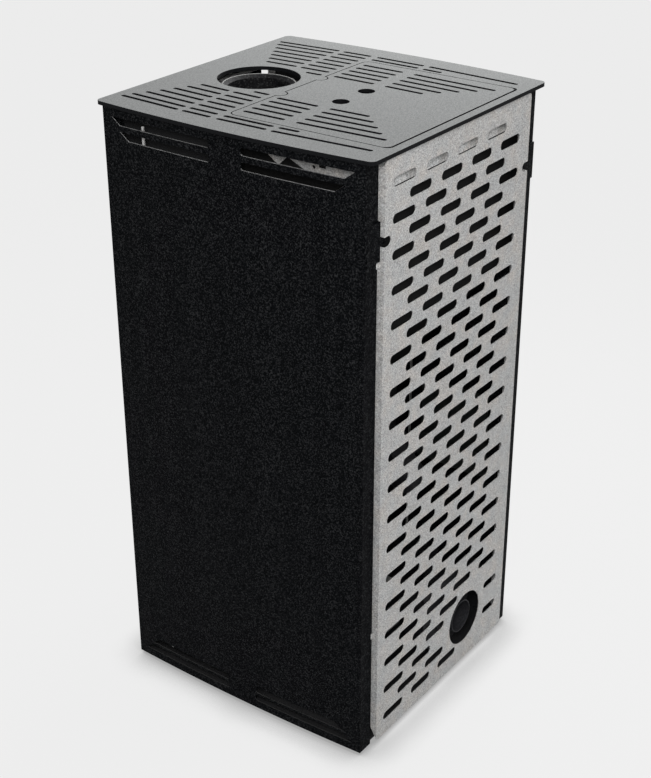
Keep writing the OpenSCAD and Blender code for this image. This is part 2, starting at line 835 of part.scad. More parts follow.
module hopper() {
  axis_z = auger_low_z + (auger_low_y - throat_y[1]) * tan(auger_angle);
  color(dark_iron) difference() {
    union() {
      hopper_form(0, 0);
      block([-throat_x, throat_y[0], axis_z + 10], [throat_x, throat_y[1], throat_top]);
    }
    hopper_form(hopper_t, past);
    block([-throat_x + hopper_t, throat_y[0] + hopper_t, axis_z],
      [throat_x - hopper_t, throat_y[1] - hopper_t, throat_top + past]);
    in_auger_frame() translate([0, 0, -past])
      cylinder(d = auger_tube_d + 2 * seat_gap, h = auger_l + 2 * past);
  }
}

// Side skirt of the hopper's rim, with a wide notch, a slot and a round hole
module rim_skirt(y0, z1) {
  skirt = 48;
  notch = y0 + 38;
  slot_y = [y0 + 92.5, y0 + 105];
  slot_z = [plate_z - 36, plate_z - 29];
  rear_y = hopper_rear + galv_t;
  difference() {
    polygon([
      [y0, z1], [y0, plate_z - 30], [notch - 16, plate_z - skirt + 2], [notch, plate_z - 30],
      [notch + 40, plate_z - skirt], [rear_y - 60, plate_z - skirt],
      [rear_y - 34, plate_z - 30], [rear_y, plate_z - 30], [rear_y, z1]
    ]);
    translate([slot_y[0], slot_z[0]]) square([slot_y[1] - slot_y[0], slot_z[1] - slot_z[0]]);
    translate([y0 + 84, plate_z - 36.5]) circle(d = 6, $fn = 32);
  }
}

// Galvanised rim round the hopper's mouth; its rear skirt is the deepest
module hopper_rim() {
  w = hopper_w / 2;
  rear_skirt = 56.7;
  lip_front = 18;
  lip_side = 4;
  side_y = hopper_front + 76;
  z1 = plate_z - seat_gap;
  color(galvanised) difference() {
    union() {
      both_sides() along_x(w, w + galv_t) rim_skirt(side_y, z1);
      block([-w - galv_t, hopper_rear, plate_z - rear_skirt],
        [w + galv_t, hopper_rear + galv_t, hopper_top]);
      block([-w - lip_side, hopper_front - lip_front, hopper_top - galv_t],
        [w + lip_side, hopper_rear, z1]);
    }
    block([-w, hopper_front, plate_z - rear_skirt - past], [w, hopper_rear, z1 + past]);
  }
}

module hopper_grille() {
  w = hopper_w / 2 - hopper_t;
  z = hopper_top - 52;
  wire = 4;
  wire_pitch = 40;
  n = floor((w - wire) / wire_pitch);
  color(plain_steel) {
    for (k = [-n : n]) rod_y(k * wire_pitch, z, hopper_front + hopper_t, hopper_rear - hopper_t, wire);
    for (y = [hopper_front + 60, hopper_rear - 60]) rod_x(y, z - wire - seat_gap, -w, w, wire);
  }
}

module auger_tube() {
  outlet_l = 50;
  outlet_y = chute_lip[0] + chute_mouth[0] + 3;
  out_y = [outlet_y, outlet_y + outlet_l];
  color(dark_iron) difference() {
    in_auger_frame() {
      cylinder(d = auger_tube_d, h = auger_l);
      cylinder(d = auger_tube_d + 18, h = 4);
    }
    in_auger_frame() {
      translate([0, 0, auger_tube_t])
        cylinder(d = auger_tube_d - 2 * auger_tube_t, h = auger_l - 2 * auger_tube_t);
      translate([0, 0, -past]) cylinder(d = auger_shaft_d + shaft_gap, h = auger_l + 2 * past);
    }
    block([-throat_x + 8, throat_y[0] + 8, auger_low_z + 20], [throat_x - 8, throat_y[1] - 8, throat_top]);
    block([-chute_w / 2 + 4, out_y[0], auger_low_z + 10],
      [chute_w / 2 - 4, out_y[1], auger_low_z + (auger_low_y - out_y[1]) * tan(auger_angle)]);
  }
}

module auger_screw() {
  flight_l = auger_l - 24;
  color(plain_steel) in_auger_frame() {
    translate([0, 0, -30]) cylinder(d = auger_shaft_d, h = auger_l + 38);
    translate([0, 0, 12])
      linear_extrude(flight_l, twist = -360 * auger_turns, slices = 16 * auger_turns, $fn = 6)
      polygon([[3, -1], [auger_d / 2 - 1, -4], [auger_d / 2, 0], [auger_d / 2 - 1, 4], [3, 1]]);
  }
}

module auger_motor() {
  color(dark_iron) in_auger_frame() difference() {
    union() {
      translate([-35, -30, -34]) cube([70, 60, 34]);
      translate([0, 0, -79]) cylinder(d = 60, h = 46);
    }
    translate([0, 0, -32]) cylinder(d = auger_shaft_d + shaft_gap, h = 33);
  }
}

// Side view of the chute, grown outwards by a gap
module chute_outline(grow) {
  top_y = [chute_lip[0] + chute_mouth[0], chute_lip[0] + chute_mouth[1]];
  rise = tan(chute_slope);
  z0 = chute_lip[1];
  polygon([
    [chute_lip[0], z0 - grow],
    [top_y[1] + grow, z0 + (top_y[1] - chute_lip[0]) * rise - grow],
    [top_y[1] + grow, chute_top_z],
    [top_y[0] - grow, chute_top_z],
    [top_y[0] - grow, z0 + (top_y[0] - chute_lip[0]) * rise + chute_rise + grow],
    [chute_lip[0], z0 + chute_rise + grow]
  ]);
}

module pellet_chute() {
  w = chute_w / 2;
  color(dark_iron) difference() {
    along_x(-w, w) chute_outline(0);
    along_x(-w + chute_t, w - chute_t) union() {
      chute_outline(-chute_t);
      translate([-3, -2]) chute_outline(-chute_t);
    }
    in_auger_frame() translate([0, 0, -past])
      cylinder(d = auger_tube_d + 2 * seat_gap, h = auger_l + past + seat_gap);
    in_auger_frame() translate([-w - past, -w, 0]) cube([chute_w + 2 * past, 4 * w, auger_l + seat_gap]);
  }
}

// Fire chamber
module combustion_chamber() {
  w = chamber_w / 2;
  y0 = chamber_front + chamber_t;
  ash_slot_in = pot_flange_r + 20;
  color(dark_iron) difference() {
    union() {
      block([-w, chamber_front, chamber_z], [w, chamber_rear, chamber_top]);
      block([-flange_w / 2, chamber_front, chamber_z], [flange_w / 2, y0, chamber_top]);
    }
    block([-chamber_in, y0, chamber_floor],
      [chamber_in, chamber_rear - chamber_t, chamber_top - chamber_t]);
    block([-mouth_w / 2, chamber_front - past, mouth_z0], [mouth_w / 2, y0 + past, mouth_z0 + mouth_h]);
    translate([0, flue_y, chamber_top - chamber_t - past])
      cylinder(r = flue_duct_r - 2, h = chamber_t + 2 * past, $fn = 96);
    both_sides() block([ash_slot_in, pot_y - 70, chamber_z - past],
      [chamber_in - 24, pot_y + 60, chamber_floor + past]);
    along_x(-chute_w / 2 - 0.5, chute_w / 2 + 0.5) chute_outline(0.5);
    rod_y(0, igniter_z, chamber_rear - chamber_t - past, chamber_rear + past, igniter_tube_d);
    block([duct_x, chamber_rear - chamber_t - past, chamber_floor + 2],
      [duct_x + duct_w, chamber_rear + past, air_box_z - 2]);
    latch_slot();
  }
}

module latch_slot() {
  translate([handle_x, 0, door_zc]) rotate([0, -handle_swing, 0]) {
    translate([0, chamber_front + chamber_t + past, 0])
      rotate([90, 0, 0]) cylinder(d = 18, h = chamber_t + 2 * past);
    block([-nose_l - 2, chamber_front - past, -nose_w / 2 - 1.5],
      [0, chamber_front + chamber_t + past, nose_w / 2 + 1.5]);
  }
}

module exchanger_fins() {
  fin_w = 18;
  fin_t = 3;
  fin_pitch = 28;
  x = chamber_w / 2;
  color(dark_iron) both_sides() for (k = [0 : 5]) {
    y = chamber_rear - 20 - k * fin_pitch;
    block([x, y, chamber_z + 120], [x + fin_w, y + fin_t, chamber_top - 30]);
  }
}

module rear_lining() {
  y1 = chamber_rear - chamber_t;
  color(lining_tan) difference() {
    block([-chamber_in, y1 - lining_t, chamber_floor], [chamber_in, y1, chamber_floor + lining_h]);
    block([-air_box_w / 2 - 1, y1 - lining_t - past, chamber_floor - past],
      [air_box_w / 2 + 1, y1 + past, air_box_z + 1]);
    along_x(-chute_w / 2 - 0.5, chute_w / 2 + 0.5) chute_outline(0.5);
    rod_y(0, igniter_z, y1 - lining_t - past, y1 + past, igniter_tube_d + 1);
  }
}

module side_linings() {
  color(lining_tan) both_sides()
    block([chamber_in - lining_t, chamber_front + chamber_t, chamber_floor],
      [chamber_in, chamber_rear - chamber_t - lining_t, chamber_floor + lining_h]);
}

module baffle_plate() {
  z0 = chamber_floor + lining_h;
  color(lining_tan) block([-chamber_in + 2, chamber_front + 40, z0],
    [chamber_in - 2, chamber_rear - chamber_t, z0 + lining_t]);
}

module pot_air_box() {
  w = air_box_w / 2;
  t = 3;
  color(dark_iron) difference() {
    block([-w, air_box_front, chamber_floor], [w, air_box_rear, air_box_z]);
    block([-w + t, air_box_front + t, chamber_floor - past], [w - t, air_box_rear - t, air_box_z - t]);
    translate([0, pot_y, chamber_floor]) cylinder(d = pot_d + 1, h = air_box_h + past);
    block([duct_x + 0.5, air_box_rear - t - past, chamber_floor + 2],
      [duct_x + duct_w - 0.5, air_box_rear + past, air_box_z - 3]);
  }
}

// Cast pot with a flange, a ring of side holes and a pierced floor
module burn_pot() {
  pot_in = pot_d / 2 - pot_t;
  z0 = pot_z1 - pot_h + 18;
  color(dark_iron) translate([0, pot_y, 0]) difference() {
    union() {
      translate([0, 0, z0]) cylinder(d = pot_d, h = pot_z1 - z0);
      translate([0, 0, air_box_z]) cylinder(r = pot_flange_r, h = 4);
    }
    translate([0, 0, z0 + 5]) cylinder(r = pot_in, h = pot_h);
    for (k = [0 : 11]) rotate(k * 30 + 15) translate([0, 0, air_box_z + 12])
      rotate([0, 90, 0]) cylinder(d = 5, h = pot_d, $fn = 24);
    for (ring = [0 : 2], k = [0 : max(0, ring * 6 - 1)])
      rotate(k * 360 / max(1, ring * 6)) translate([ring * 14, 0, z0 - past])
      cylinder(d = 5, h = 5 + 2 * past, $fn = 24);
  }
}

module igniter() {
  y0 = pot_y + pot_flange_r + 3;
  color(plain_steel) {
    rod_y(0, igniter_z, y0 + 4, chamber_rear + 30, igniter_d);
    difference() {
      rod_y(0, igniter_z, y0, chamber_rear + 18, igniter_tube_d);
      rod_y(0, igniter_z, y0 - past, chamber_rear + 14, igniter_d + 2);
      rod_y(0, igniter_z, y0, chamber_rear + 18 + past, igniter_d);
    }
  }
}

// Ash bay and drawer
drawer_w = chamber_w - 2 * drawer_side;
ash_rear = chamber_rear - 14;

module ash_bay() {
  w = drawer_w / 2 + 5;
  y1 = ash_rear;
  color(black_paint) difference() {
    block([-w - sheet_t, -case_front + sheet_t, ash_z0], [w + sheet_t, y1, chamber_z]);
    block([-w, -case_front, ash_z0 + sheet_t], [w, y1 - sheet_t, chamber_z + past]);
  }
}

drawer_z0 = ash_z0 + sheet_t + seat_gap;

module ash_drawer() {
  w = drawer_w / 2;
  y0 = -case_front - seat_gap;
  drawer_d = ash_rear - sheet_t - drawer_back - y0;
  color(galvanised) difference() {
    block([-w, y0, drawer_z0], [w, y0 + drawer_d, drawer_z0 + drawer_h]);
    block([-w + galv_t, y0 + galv_t, drawer_z0 + galv_t],
      [w - galv_t, y0 + drawer_d - galv_t, drawer_z0 + drawer_h + past]);
  }
}

module ash_drawer_front() {
  w = door_w / 2;
  y1 = -case_front - seat_gap;
  pull_l = 110;
  zc = (drawer_front_z0 + drawer_front_z1) / 2;
  color(black_paint) {
    block([-w, door_face, drawer_front_z0], [w, y1, drawer_front_z1]);
    rod_x(door_face - 22, zc, -pull_l / 2, pull_l / 2, 10);
    for (s = [-1, 1]) rod_y(s * (pull_l / 2 - 12), zc, door_face - 22, door_face + past, 8);
  }
}

// Door
module door_frame() {
  groove_x = mouth_w / 2 + gasket_in;
  groove_z = mouth_h / 2 + gasket_in;
  color(black_paint) difference() {
    union() {
      block([-door_w / 2, door_face, door_z0], [door_w / 2, door_back, door_z1]);
      for (z = [door_z0 + knuckle_inset, door_z1 - knuckle_inset - knuckle_l]) {
        translate([hinge_x, hinge_y, z]) cylinder(r = knuckle_r, h = knuckle_l);
        block([door_w / 2 - 4, hinge_y - 5, z], [hinge_x, hinge_y + 5, z + knuckle_l]);
      }
    }
    translate([0, 0, door_zc]) {
      block([-window_w / 2, door_face - past, -window_h / 2],
        [window_w / 2, door_back + past, window_h / 2]);
      block([-window_w / 2 - glass_lap, door_back - glass_t - 2, -window_h / 2 - glass_lap],
        [window_w / 2 + glass_lap, door_back + past, window_h / 2 + glass_lap]);
      difference() {
        block([-groove_x - gasket_w, door_back - 4, -groove_z - gasket_w],
          [groove_x + gasket_w, door_back + past, groove_z + gasket_w]);
        block([-groove_x, door_back - 5, -groove_z], [groove_x, door_back + 2 * past, groove_z]);
      }
    }
    for (z = [door_z0 + knuckle_inset, door_z1 - knuckle_inset - knuckle_l])
      translate([hinge_x, hinge_y, z - past])
        cylinder(d = hinge_pin_d + shaft_gap, h = knuckle_l + 2 * past);
    rod_y(handle_x, door_zc, door_face - past, door_back + past, spindle_d + shaft_gap);
  }
}

module door_gasket() {
  gx = mouth_w / 2 + gasket_in;
  gz = mouth_h / 2 + gasket_in;
  y1 = chamber_front - seat_gap;
  color(rope_grey) translate([0, 0, door_zc]) difference() {
    block([-gx - gasket_w, door_back - 4, -gz - gasket_w], [gx + gasket_w, y1, gz + gasket_w]);
    block([-gx, door_back - 5, -gz], [gx, y1 + past, gz]);
  }
}

module door_glass() {
  color(glass_tint) translate([0, 0, door_zc])
    block([-window_w / 2 - glass_lap, door_back - glass_t, -window_h / 2 - glass_lap],
      [window_w / 2 + glass_lap, door_back, window_h / 2 + glass_lap]);
}

module glass_gasket() {
  color(rope_grey) translate([0, 0, door_zc]) difference() {
    block([-window_w / 2 - glass_lap, door_back - glass_t - 2, -window_h / 2 - glass_lap],
      [window_w / 2 + glass_lap, door_back - glass_t, window_h / 2 + glass_lap]);
    block([-window_w / 2, door_back - glass_t - 3, -window_h / 2],
      [window_w / 2, door_back - glass_t + past, window_h / 2]);
  }
}

module glass_clips() {
  clip_h = 20;
  clip_t = 2;
  dz = window_h / 2 - 65;
  color(plain_steel) both_sides() for (s = [-1, 1]) translate([0, door_back, door_zc + s * dz]) {
    block([window_w / 2 + 2, 0, -clip_h / 2], [mouth_w / 2, clip_t, clip_h / 2]);
    rod_y(mouth_w / 2 - 5, 0, clip_t, clip_t + 2.5, 6);
  }
}

module door_hinges() {
  color(black_paint) for (z = [door_z0 + knuckle_inset, door_z1 - knuckle_inset - knuckle_l]) {
    translate([hinge_x, hinge_y, z - knuckle_l]) cylinder(r = knuckle_r, h = knuckle_l - seat_gap);
    block([hinge_x - 1, hinge_y, z - knuckle_l], [hinge_x + knuckle_r, -case_front, z - seat_gap]);
    translate([hinge_x, hinge_y, z - knuckle_l]) cylinder(d = hinge_pin_d, h = 2 * knuckle_l - 2);
  }
}

// Handle and latch, drawn where the latch is free
module in_latch_frame() {
  translate([handle_x, 0, door_zc]) rotate([0, -handle_swing, 0]) children();
}

module door_handle() {
  y0 = door_face - seat_gap;
  color(plain_steel) in_latch_frame() difference() {
    union() {
      rod_y(0, 0, y0 - handle_reach, y0, 20);
      translate([0, y0 - handle_reach + 9, -handle_l]) cylinder(d = 16, h = handle_l);
      translate([0, y0 - handle_reach + 9, -handle_l]) sphere(d = 16);
    }
    rod_y(0, 0, y0 - 16, y0 + past, spindle_d);
  }
}

module latch_spindle() {
  y0 = chamber_front + chamber_t + 0.5;
  color(plain_steel) in_latch_frame() {
    rod_y(0, 0, door_face - seat_gap - 16, y0 + 6, spindle_d);
    rod_y(0, 0, y0, y0 + 6, spindle_d + 2);
    block([-nose_l, y0, -nose_w / 2], [0, y0 + 6, nose_w / 2]);
  }
}

// Flue
module flue_duct() {
  color(dark_iron) difference() {
    translate([0, flue_y, chamber_top]) cylinder(r = flue_duct_r, h = collar_z0 - chamber_top, $fn = 96);
    translate([0, flue_y, chamber_top - past])
      cylinder(r = flue_duct_r - 2, h = collar_z0 - chamber_top + 2 * past, $fn = 96);
    rod_y(0, chamber_top + 34, flue_y, flue_y + 60, 6 + shaft_gap);
  }
}

module flue_collar() {
  r = flue_bore_d / 2;
  rim = r + flue_rim_w;
  z1 = flue_rim_z;
  color(plain_steel) translate([0, flue_y, 0]) rotate_extrude($fn = 96) polygon([
    [r - 3, collar_z0], [r + 2.5, collar_z0], [r + 2.5, z1 - flue_flare - 1.5], [rim, z1 - 2],
    [rim, z1], [rim - 1.5, z1], [r, z1 - flue_flare],
      [r, collar_z0 + flue_stop], [r - 3, collar_z0 + flue_stop]
  ]);
}

module smoke_probe() {
  z = chamber_top + 34;
  color(plain_steel) {
    rod_y(0, z, flue_y + 30, flue_y + 78, 6);
    rod_y(0, z, flue_y + flue_duct_r + 1, flue_y + flue_duct_r + 7, 11);
  }
}

// Combustion air
module air_inlet_spigot() {
  color(black_paint) translate([air_x, spigot_end, air_z]) rotate([90, 0, 0]) difference() {
    union() {
      cylinder(d = inlet_d, h = inlet_l - 2);
      translate([0, 0, inlet_l - 5]) cylinder(d = inlet_d + 18, h = 3);
    }
    translate([0, 0, -past]) cylinder(d = inlet_d - 4, h = inlet_l + 2 * past);
  }
}

module blower_housing() {
  t = blower_t;
  color(dark_iron) difference() {
    union() {
      rod_y(air_x, air_z, blower_front, blower_rear, blower_d);
      block([duct_x, blower_front, air_z], [duct_x + duct_w, blower_rear, blower_top_z]);
      block([air_x - 30, blower_rear - 26, base_top], [air_x + 30, blower_rear - 14, air_z - 50]);
    }
    rod_y(air_x, air_z, blower_front + t, blower_rear - t, blower_d - 2 * t);
    block([duct_x + t, blower_front + t, air_z],
      [duct_x + duct_w - t, blower_rear - t, blower_top_z + past]);
    rod_y(air_x, air_z, blower_rear - t - past, blower_rear + past, inlet_d - 4);
    rod_y(air_x, air_z, blower_front - past, blower_front + t + past, motor_shaft_d + 4);
  }
}

module blower_impeller() {
  y0 = blower_front + blower_t + 3;
  blade_l = 24;
  color(plain_steel) {
    rod_y(air_x, air_z, y0, y0 + 2, blower_wheel_d);
    rod_y(air_x, air_z, blower_front - 28, y0 + 14, motor_shaft_d);
    rod_y(air_x, air_z, y0, y0 + 12, 22);
    for (k = [0 : 11]) translate([air_x, y0, air_z]) rotate([0, k * 30, 0])
      block([28, 1, -1], [blower_wheel_d / 2, blade_l, 1]);
  }
}

module blower_motor() {
  color(dark_iron) difference() {
    rod_y(air_x, air_z, blower_front - 50, blower_front, 80);
    rod_y(air_x, air_z, blower_front - 30, blower_front + past, motor_shaft_d + shaft_gap);
  }
}

// Square duct from the blower up behind the chamber, in side view
module duct_side(inset, end) {
  i = inset;
  y_back = blower_rear - i;
  y_front = blower_front + i;
  rise_y = chamber_rear + 4;
  polygon([
    [y_front, blower_top_z - end], [y_back, blower_top_z - end], [y_back, duct_low_z + duct_w - i],
    [rise_y + duct_w - i, duct_low_z + duct_w - i], [rise_y + duct_w - i, air_box_z - 2 - i],
    [air_box_rear - end, air_box_z - 2 - i], [air_box_rear - end, chamber_floor + 2 + i],
    [rise_y + i, chamber_floor + 2 + i], [rise_y + i, duct_low_z + i], [y_front, duct_low_z + i]
  ]);
}

module air_duct() {
  color(black_paint) difference() {
    along_x(duct_x, duct_x + duct_w) duct_side(0, 0);
    along_x(duct_x + galv_t, duct_x + duct_w - galv_t) duct_side(galv_t, past);
  }
}

// Room fan
module room_fan_housing() {
  t = 2;
  color(galvanised) difference() {
    block([-fan_half, fan_y[0], base_top], [fan_half, fan_y[1], base_top + fan_h]);
    block([-fan_half + t, fan_y[0] + t, base_top + t], [fan_half - t, fan_y[1] - t, base_top + fan_h - t]);
    block([-fan_half + 6, fan_y[0] + 6, base_top + fan_h - t - past],
      [fan_half - 6, fan_y[0] + 28, base_top + fan_h + past]);
    block([-fan_half + 6, fan_y[1] - t - past, base_top + 16],
      [fan_half - 6, fan_y[1] + past, base_top + 76]);
    rod_x(drum_y, drum_z, -fan_half - past, fan_half + past, fan_shaft_d + shaft_gap);
  }
}

module room_fan_impeller() {
  half = drum_l / 2;
  color(plain_steel) {
    rod_x(drum_y, drum_z, -fan_half - 4, fan_half + 30, fan_shaft_d);
    for (x = [-half, -1, half - 2]) rod_x(drum_y, drum_z, x, x + 2, drum_d);
    for (k = [0 : 19]) translate([0, drum_y, drum_z]) rotate([k * 18, 0, 0])
      block([-half, -1, drum_d / 2 - 8], [half, 1, drum_d / 2 - 1]);
  }
}

module room_fan_motor() {
  color(dark_iron) difference() {
    rod_x(drum_y, drum_z, fan_half, fan_half + 50, 60);
    rod_x(drum_y, drum_z, fan_half - past, fan_half + 32, fan_shaft_d + shaft_gap);
  }
}

// Electrics
module control_board() {
  board_t = 2;
  board_h = 160;
  board_d = 163;
  x = -hopper_w / 2 - 16;
  z = chamber_z + 8;
  color(board_black) translate([x, upright_y - board_d, z]) {
    cube([board_t, board_d, board_h]);
    translate([board_t, 10, 20]) cube([28, 40, 50]);
    translate([board_t, 60, 10]) cube([18, 70, 35]);
    translate([board_t, 70, 80]) cube([14, 70, 60]);
    translate([0, board_d - board_t, 0]) cube([14, board_t, board_h]);
  }
}

module control_fascia() {
  y0 = -case_front - fascia_t;
  y1 = -case_front + 5;
  color(rubber_black) difference() {
    union() {
      block([-fascia_w / 2, y0, fascia_z - fascia_h / 2],
        [fascia_w / 2, -case_front, fascia_z + fascia_h / 2]);
      block([-fascia_w / 2 + 13, -case_front, fascia_z - fascia_h / 2 + 7],
        [fascia_w / 2 - 13, y1, fascia_z + fascia_h / 2 - 7]);
    }
    block([-fascia_w / 2 + 16, y0 + 3, fascia_z - fascia_h / 2 + 10],
      [fascia_w / 2 - 16, y1 + past, fascia_z + fascia_h / 2 - 10]);
    block([-38, y0 - past, fascia_z - 15], [38, y0 + 3 + past, fascia_z + 15]);
    for (x = button_x) rod_y(x, fascia_z, y0 - past, y0 + 3 + past, button_d + 2 * button_gap);
  }
}

module display_pane() {
  y0 = -case_front - fascia_t;
  y1 = -case_front + 5;
  color(glass_tint) {
    block([-38, y0 + 1, fascia_z - 15], [38, y0 + 3, fascia_z + 15]);
    block([-44, y0 + 3, fascia_z - fascia_h / 2 + 10], [44, y0 + 5, fascia_z + fascia_h / 2 - 10]);
  }
}

module button(x) {
  y0 = -case_front - fascia_t;
  color(plain_steel) {
    rod_y(x, fascia_z, y0 - 2, y0 + 3 + seat_gap, button_d);
    rod_y(x, fascia_z, y0 + 3 + seat_gap, y0 + 5.5, button_collar_d);
  }
}

module button_power() {
  button(button_x[0]);
}

module button_minus() {
  button(button_x[1]);
}

module button_plus() {
  button(button_x[2]);
}

// Mains inlet and switch, in the left side panel
inlet_face_x = -(case_x(inlet_y - 28) + 2.2);
rocker_x = inlet_face_x + 4;
rocker_z = inlet_z + 15;
rocker_pivot_d = 3;

module mains_inlet() {
  x = inlet_face_x;
  color(rubber_black) difference() {
    union() {
      block([x, inlet_y - 28, inlet_z - 33], [x + 2, inlet_y + 28, inlet_z + 33]);
      block([x, inlet_y - 22, inlet_z - 27], [x + 36, inlet_y + 22, inlet_z + 27]);
    }
    block([x - past, inlet_y - 14, inlet_z - 22], [x + 16, inlet_y + 14, inlet_z - 2]);
    block([x - past, inlet_y - 11, rocker_z - 8], [x + 14, inlet_y + 11, rocker_z + 8]);
    rod_y(rocker_x, rocker_z, inlet_y - 14, inlet_y + 14, rocker_pivot_d + shaft_gap);
  }
  color(plain_steel) for (y = [-8, 0, 8]) block([x + 15, inlet_y + y - 1, inlet_z - 14],
    [x + 18, inlet_y + y + 1, inlet_z - 9]);
}

// Rocker, drawn with its lower half pressed in
module power_switch() {
  rocker_w = 21.4;
  color(rubber_black) translate([rocker_x, inlet_y, rocker_z]) {
    rotate([0, 6, 0]) rotate([90, 0, 0]) translate([0, 0, -rocker_w / 2]) linear_extrude(rocker_w)
      polygon([[-4.5, 6.6], [-3.2, 0], [-4.5, -6.6], [4, -5], [4, 5]]);
    rod_y(0, 0, -13.5, 13.5, rocker_pivot_d);
  }
}

base_plate();
feet();
support_legs();
rear_uprights();
side_panel_left();
side_panel_right();
side_ribs();
rear_panel();
panel_catches();
front_header();
header_rail();
lower_front_panel();
top_plate();
hopper_lid();
lid_hinge_pins();
hopper();
hopper_rim();
hopper_grille();
auger_tube();
auger_screw();
auger_motor();
pellet_chute();
combustion_chamber();
exchanger_fins();
rear_lining();
side_linings();
baffle_plate();
pot_air_box();
burn_pot();
igniter();
ash_bay();
ash_drawer();
ash_drawer_front();
door_frame();
door_glass();
glass_gasket();
glass_clips();
door_gasket();
door_hinges();
door_handle();
latch_spindle();
flue_duct();
flue_collar();
smoke_probe();
air_inlet_spigot();
blower_housing();
blower_impeller();
blower_motor();
air_duct();
room_fan_housing();
room_fan_impeller();
room_fan_motor();
control_board();
control_fascia();
display_pane();
button_power();
button_plus();
button_minus();
mains_inlet();
power_switch();
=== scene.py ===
# Pellet stove: finishes, rounded sheet edges and small parts around the fixed frame. Units are metres.
import json
from math import cos, pi, radians, sin

import bmesh
import bpy
from mathutils import Matrix, Vector


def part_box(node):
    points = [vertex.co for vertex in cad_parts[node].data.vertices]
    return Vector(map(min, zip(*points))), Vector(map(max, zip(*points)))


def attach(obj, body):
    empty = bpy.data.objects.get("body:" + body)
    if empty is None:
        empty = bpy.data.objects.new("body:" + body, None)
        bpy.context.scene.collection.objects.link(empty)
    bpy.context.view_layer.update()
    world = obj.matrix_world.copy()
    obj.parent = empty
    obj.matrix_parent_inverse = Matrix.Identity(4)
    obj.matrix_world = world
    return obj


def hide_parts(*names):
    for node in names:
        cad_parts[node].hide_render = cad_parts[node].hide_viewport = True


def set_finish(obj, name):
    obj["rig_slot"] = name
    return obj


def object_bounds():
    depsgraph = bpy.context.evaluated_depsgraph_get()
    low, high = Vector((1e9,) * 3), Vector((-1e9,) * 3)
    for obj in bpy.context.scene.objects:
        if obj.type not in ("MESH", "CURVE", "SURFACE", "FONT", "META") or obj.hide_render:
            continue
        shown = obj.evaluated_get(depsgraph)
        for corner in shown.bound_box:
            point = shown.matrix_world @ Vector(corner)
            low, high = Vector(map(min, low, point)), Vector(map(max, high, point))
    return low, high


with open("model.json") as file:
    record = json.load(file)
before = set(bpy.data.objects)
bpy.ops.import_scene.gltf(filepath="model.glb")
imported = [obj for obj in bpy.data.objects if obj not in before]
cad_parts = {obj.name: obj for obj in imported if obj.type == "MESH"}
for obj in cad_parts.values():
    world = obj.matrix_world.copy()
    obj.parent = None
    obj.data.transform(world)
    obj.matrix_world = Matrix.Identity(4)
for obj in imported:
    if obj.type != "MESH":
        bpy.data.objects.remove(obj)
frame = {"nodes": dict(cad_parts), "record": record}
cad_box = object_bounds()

MM = 0.001

# Camera: behind the stove, to the side with the louvres, above the top plate
CAMERA_AT = (1.80473, 1.30215, 1.64796)
CAMERA_AZIMUTH = 125.818
CAMERA_ELEVATION = 27.181
CAMERA_ROLL = -0.123
LENS = 69.38
SENSOR = 36

# Backdrop, and the floor: its width, how far below zero it lies, and its tones for the camera and for light
WHITE = (1, 1, 1, 1)
PALE = (0.855, 0.855, 0.855, 1)
FLOOR_WIDTH = 40
FLOOR_DROP = 0.5 * MM
FLOOR_MATT = (0.03, 0.03, 0.03, 1)
FLOOR_BOUNCE = (0.5, 0.5, 0.5, 1)

# Glow of the floor: in the open, in the painted shadow under the stove, and the openness at which each
# begins
FLOOR_GLOW = 0.822
FLOOR_SHADE = 0.36
OPEN_FROM = 0.96
SHADED_FROM = 0.42
SHADOW_REACH = 0.07

# Light: strength of the even light, then the lamps with their place, target, size and watts
EVEN_LIGHT = 0.5
LAMPS = {
    "key": ((0.1, 1.9, 2.9), (0, 0, 0.6), (2.4, 2.4), 34),
    "beside_camera": ((1.78, 1.22, 1.82), (0, 0, 0.6), (0.5, 0.5), 32),
    "far_side": ((-0.9, -0.1, 1.7), (0, -0.1, 1.0), (0.5, 1.6), 31),
}

# Mesh clean-up: width of a seam, and the angle in degrees up to which two faces are one flat face
SEAM = 0.002 * MM
FLAT_UP_TO = 0.06

# Edges, by their angle in degrees: softened from the first, drawn as a crease from the second
SOFTEN_FROM = 30
CREASE_FROM = 32
SMALL_STEPS = 2

# Rear panel: radius of its edges and of its two upright bends, and how a bend is told from other edges
REAR_EDGE = 0.3 * MM
REAR_BEND = 2.4 * MM
BEND_STEPS = 4
BEND_LEAST_LENGTH = 300 * MM
BEND_PLACE = 0.2 * MM
BEND_ZONE = 3 * MM

# Least share of a face's normal that points one way: the flat of a plate, a side, a louvre lip, a bend
FLAT_SHARE = 0.97
SIDE_SHARE = 0.5
LIP_SHARE = 0.35
BEND_SHARE = 0.25

# Louvre lips lie this far inside the box of the stove, along its depth and along its height
LIP_INSET_DEPTH = 30 * MM
LIP_INSET_HEIGHT = 12 * MM

# Lift of the base plate's curbs and of the hopper rim's rear skirt, and how deep their ends reach
CURB_LIFT = 13.8 * MM
SKIRT_LIFT = 2.8 * MM
END_ZONE = 2 * MM

# Marks on the buttons. A whole ring has MARK_PARTS bars, and MARK_GAP of them are left out at the top
MARK_HEIGHT = 0.24 * MM
MARK_LINE = 0.8 * MM
MARK_LENGTH = 4.6 * MM
MARK_RADIUS = 2.9 * MM
MARK_PARTS = 24
MARK_GAP = 4
MARK_OVERLAP = 1.12

# Rope seal: its corners, its rings and their steps, and its strands with the steps to a turn
ROPE_CORNER = 12 * MM
ROPE_CORNER_STEP = 15
ROPE_STEP = 3.2 * MM
ROPE_SIDES = 18
ROPE_STRANDS = 3
ROPE_LAY = 14
ROPE_BULGE = 0.07


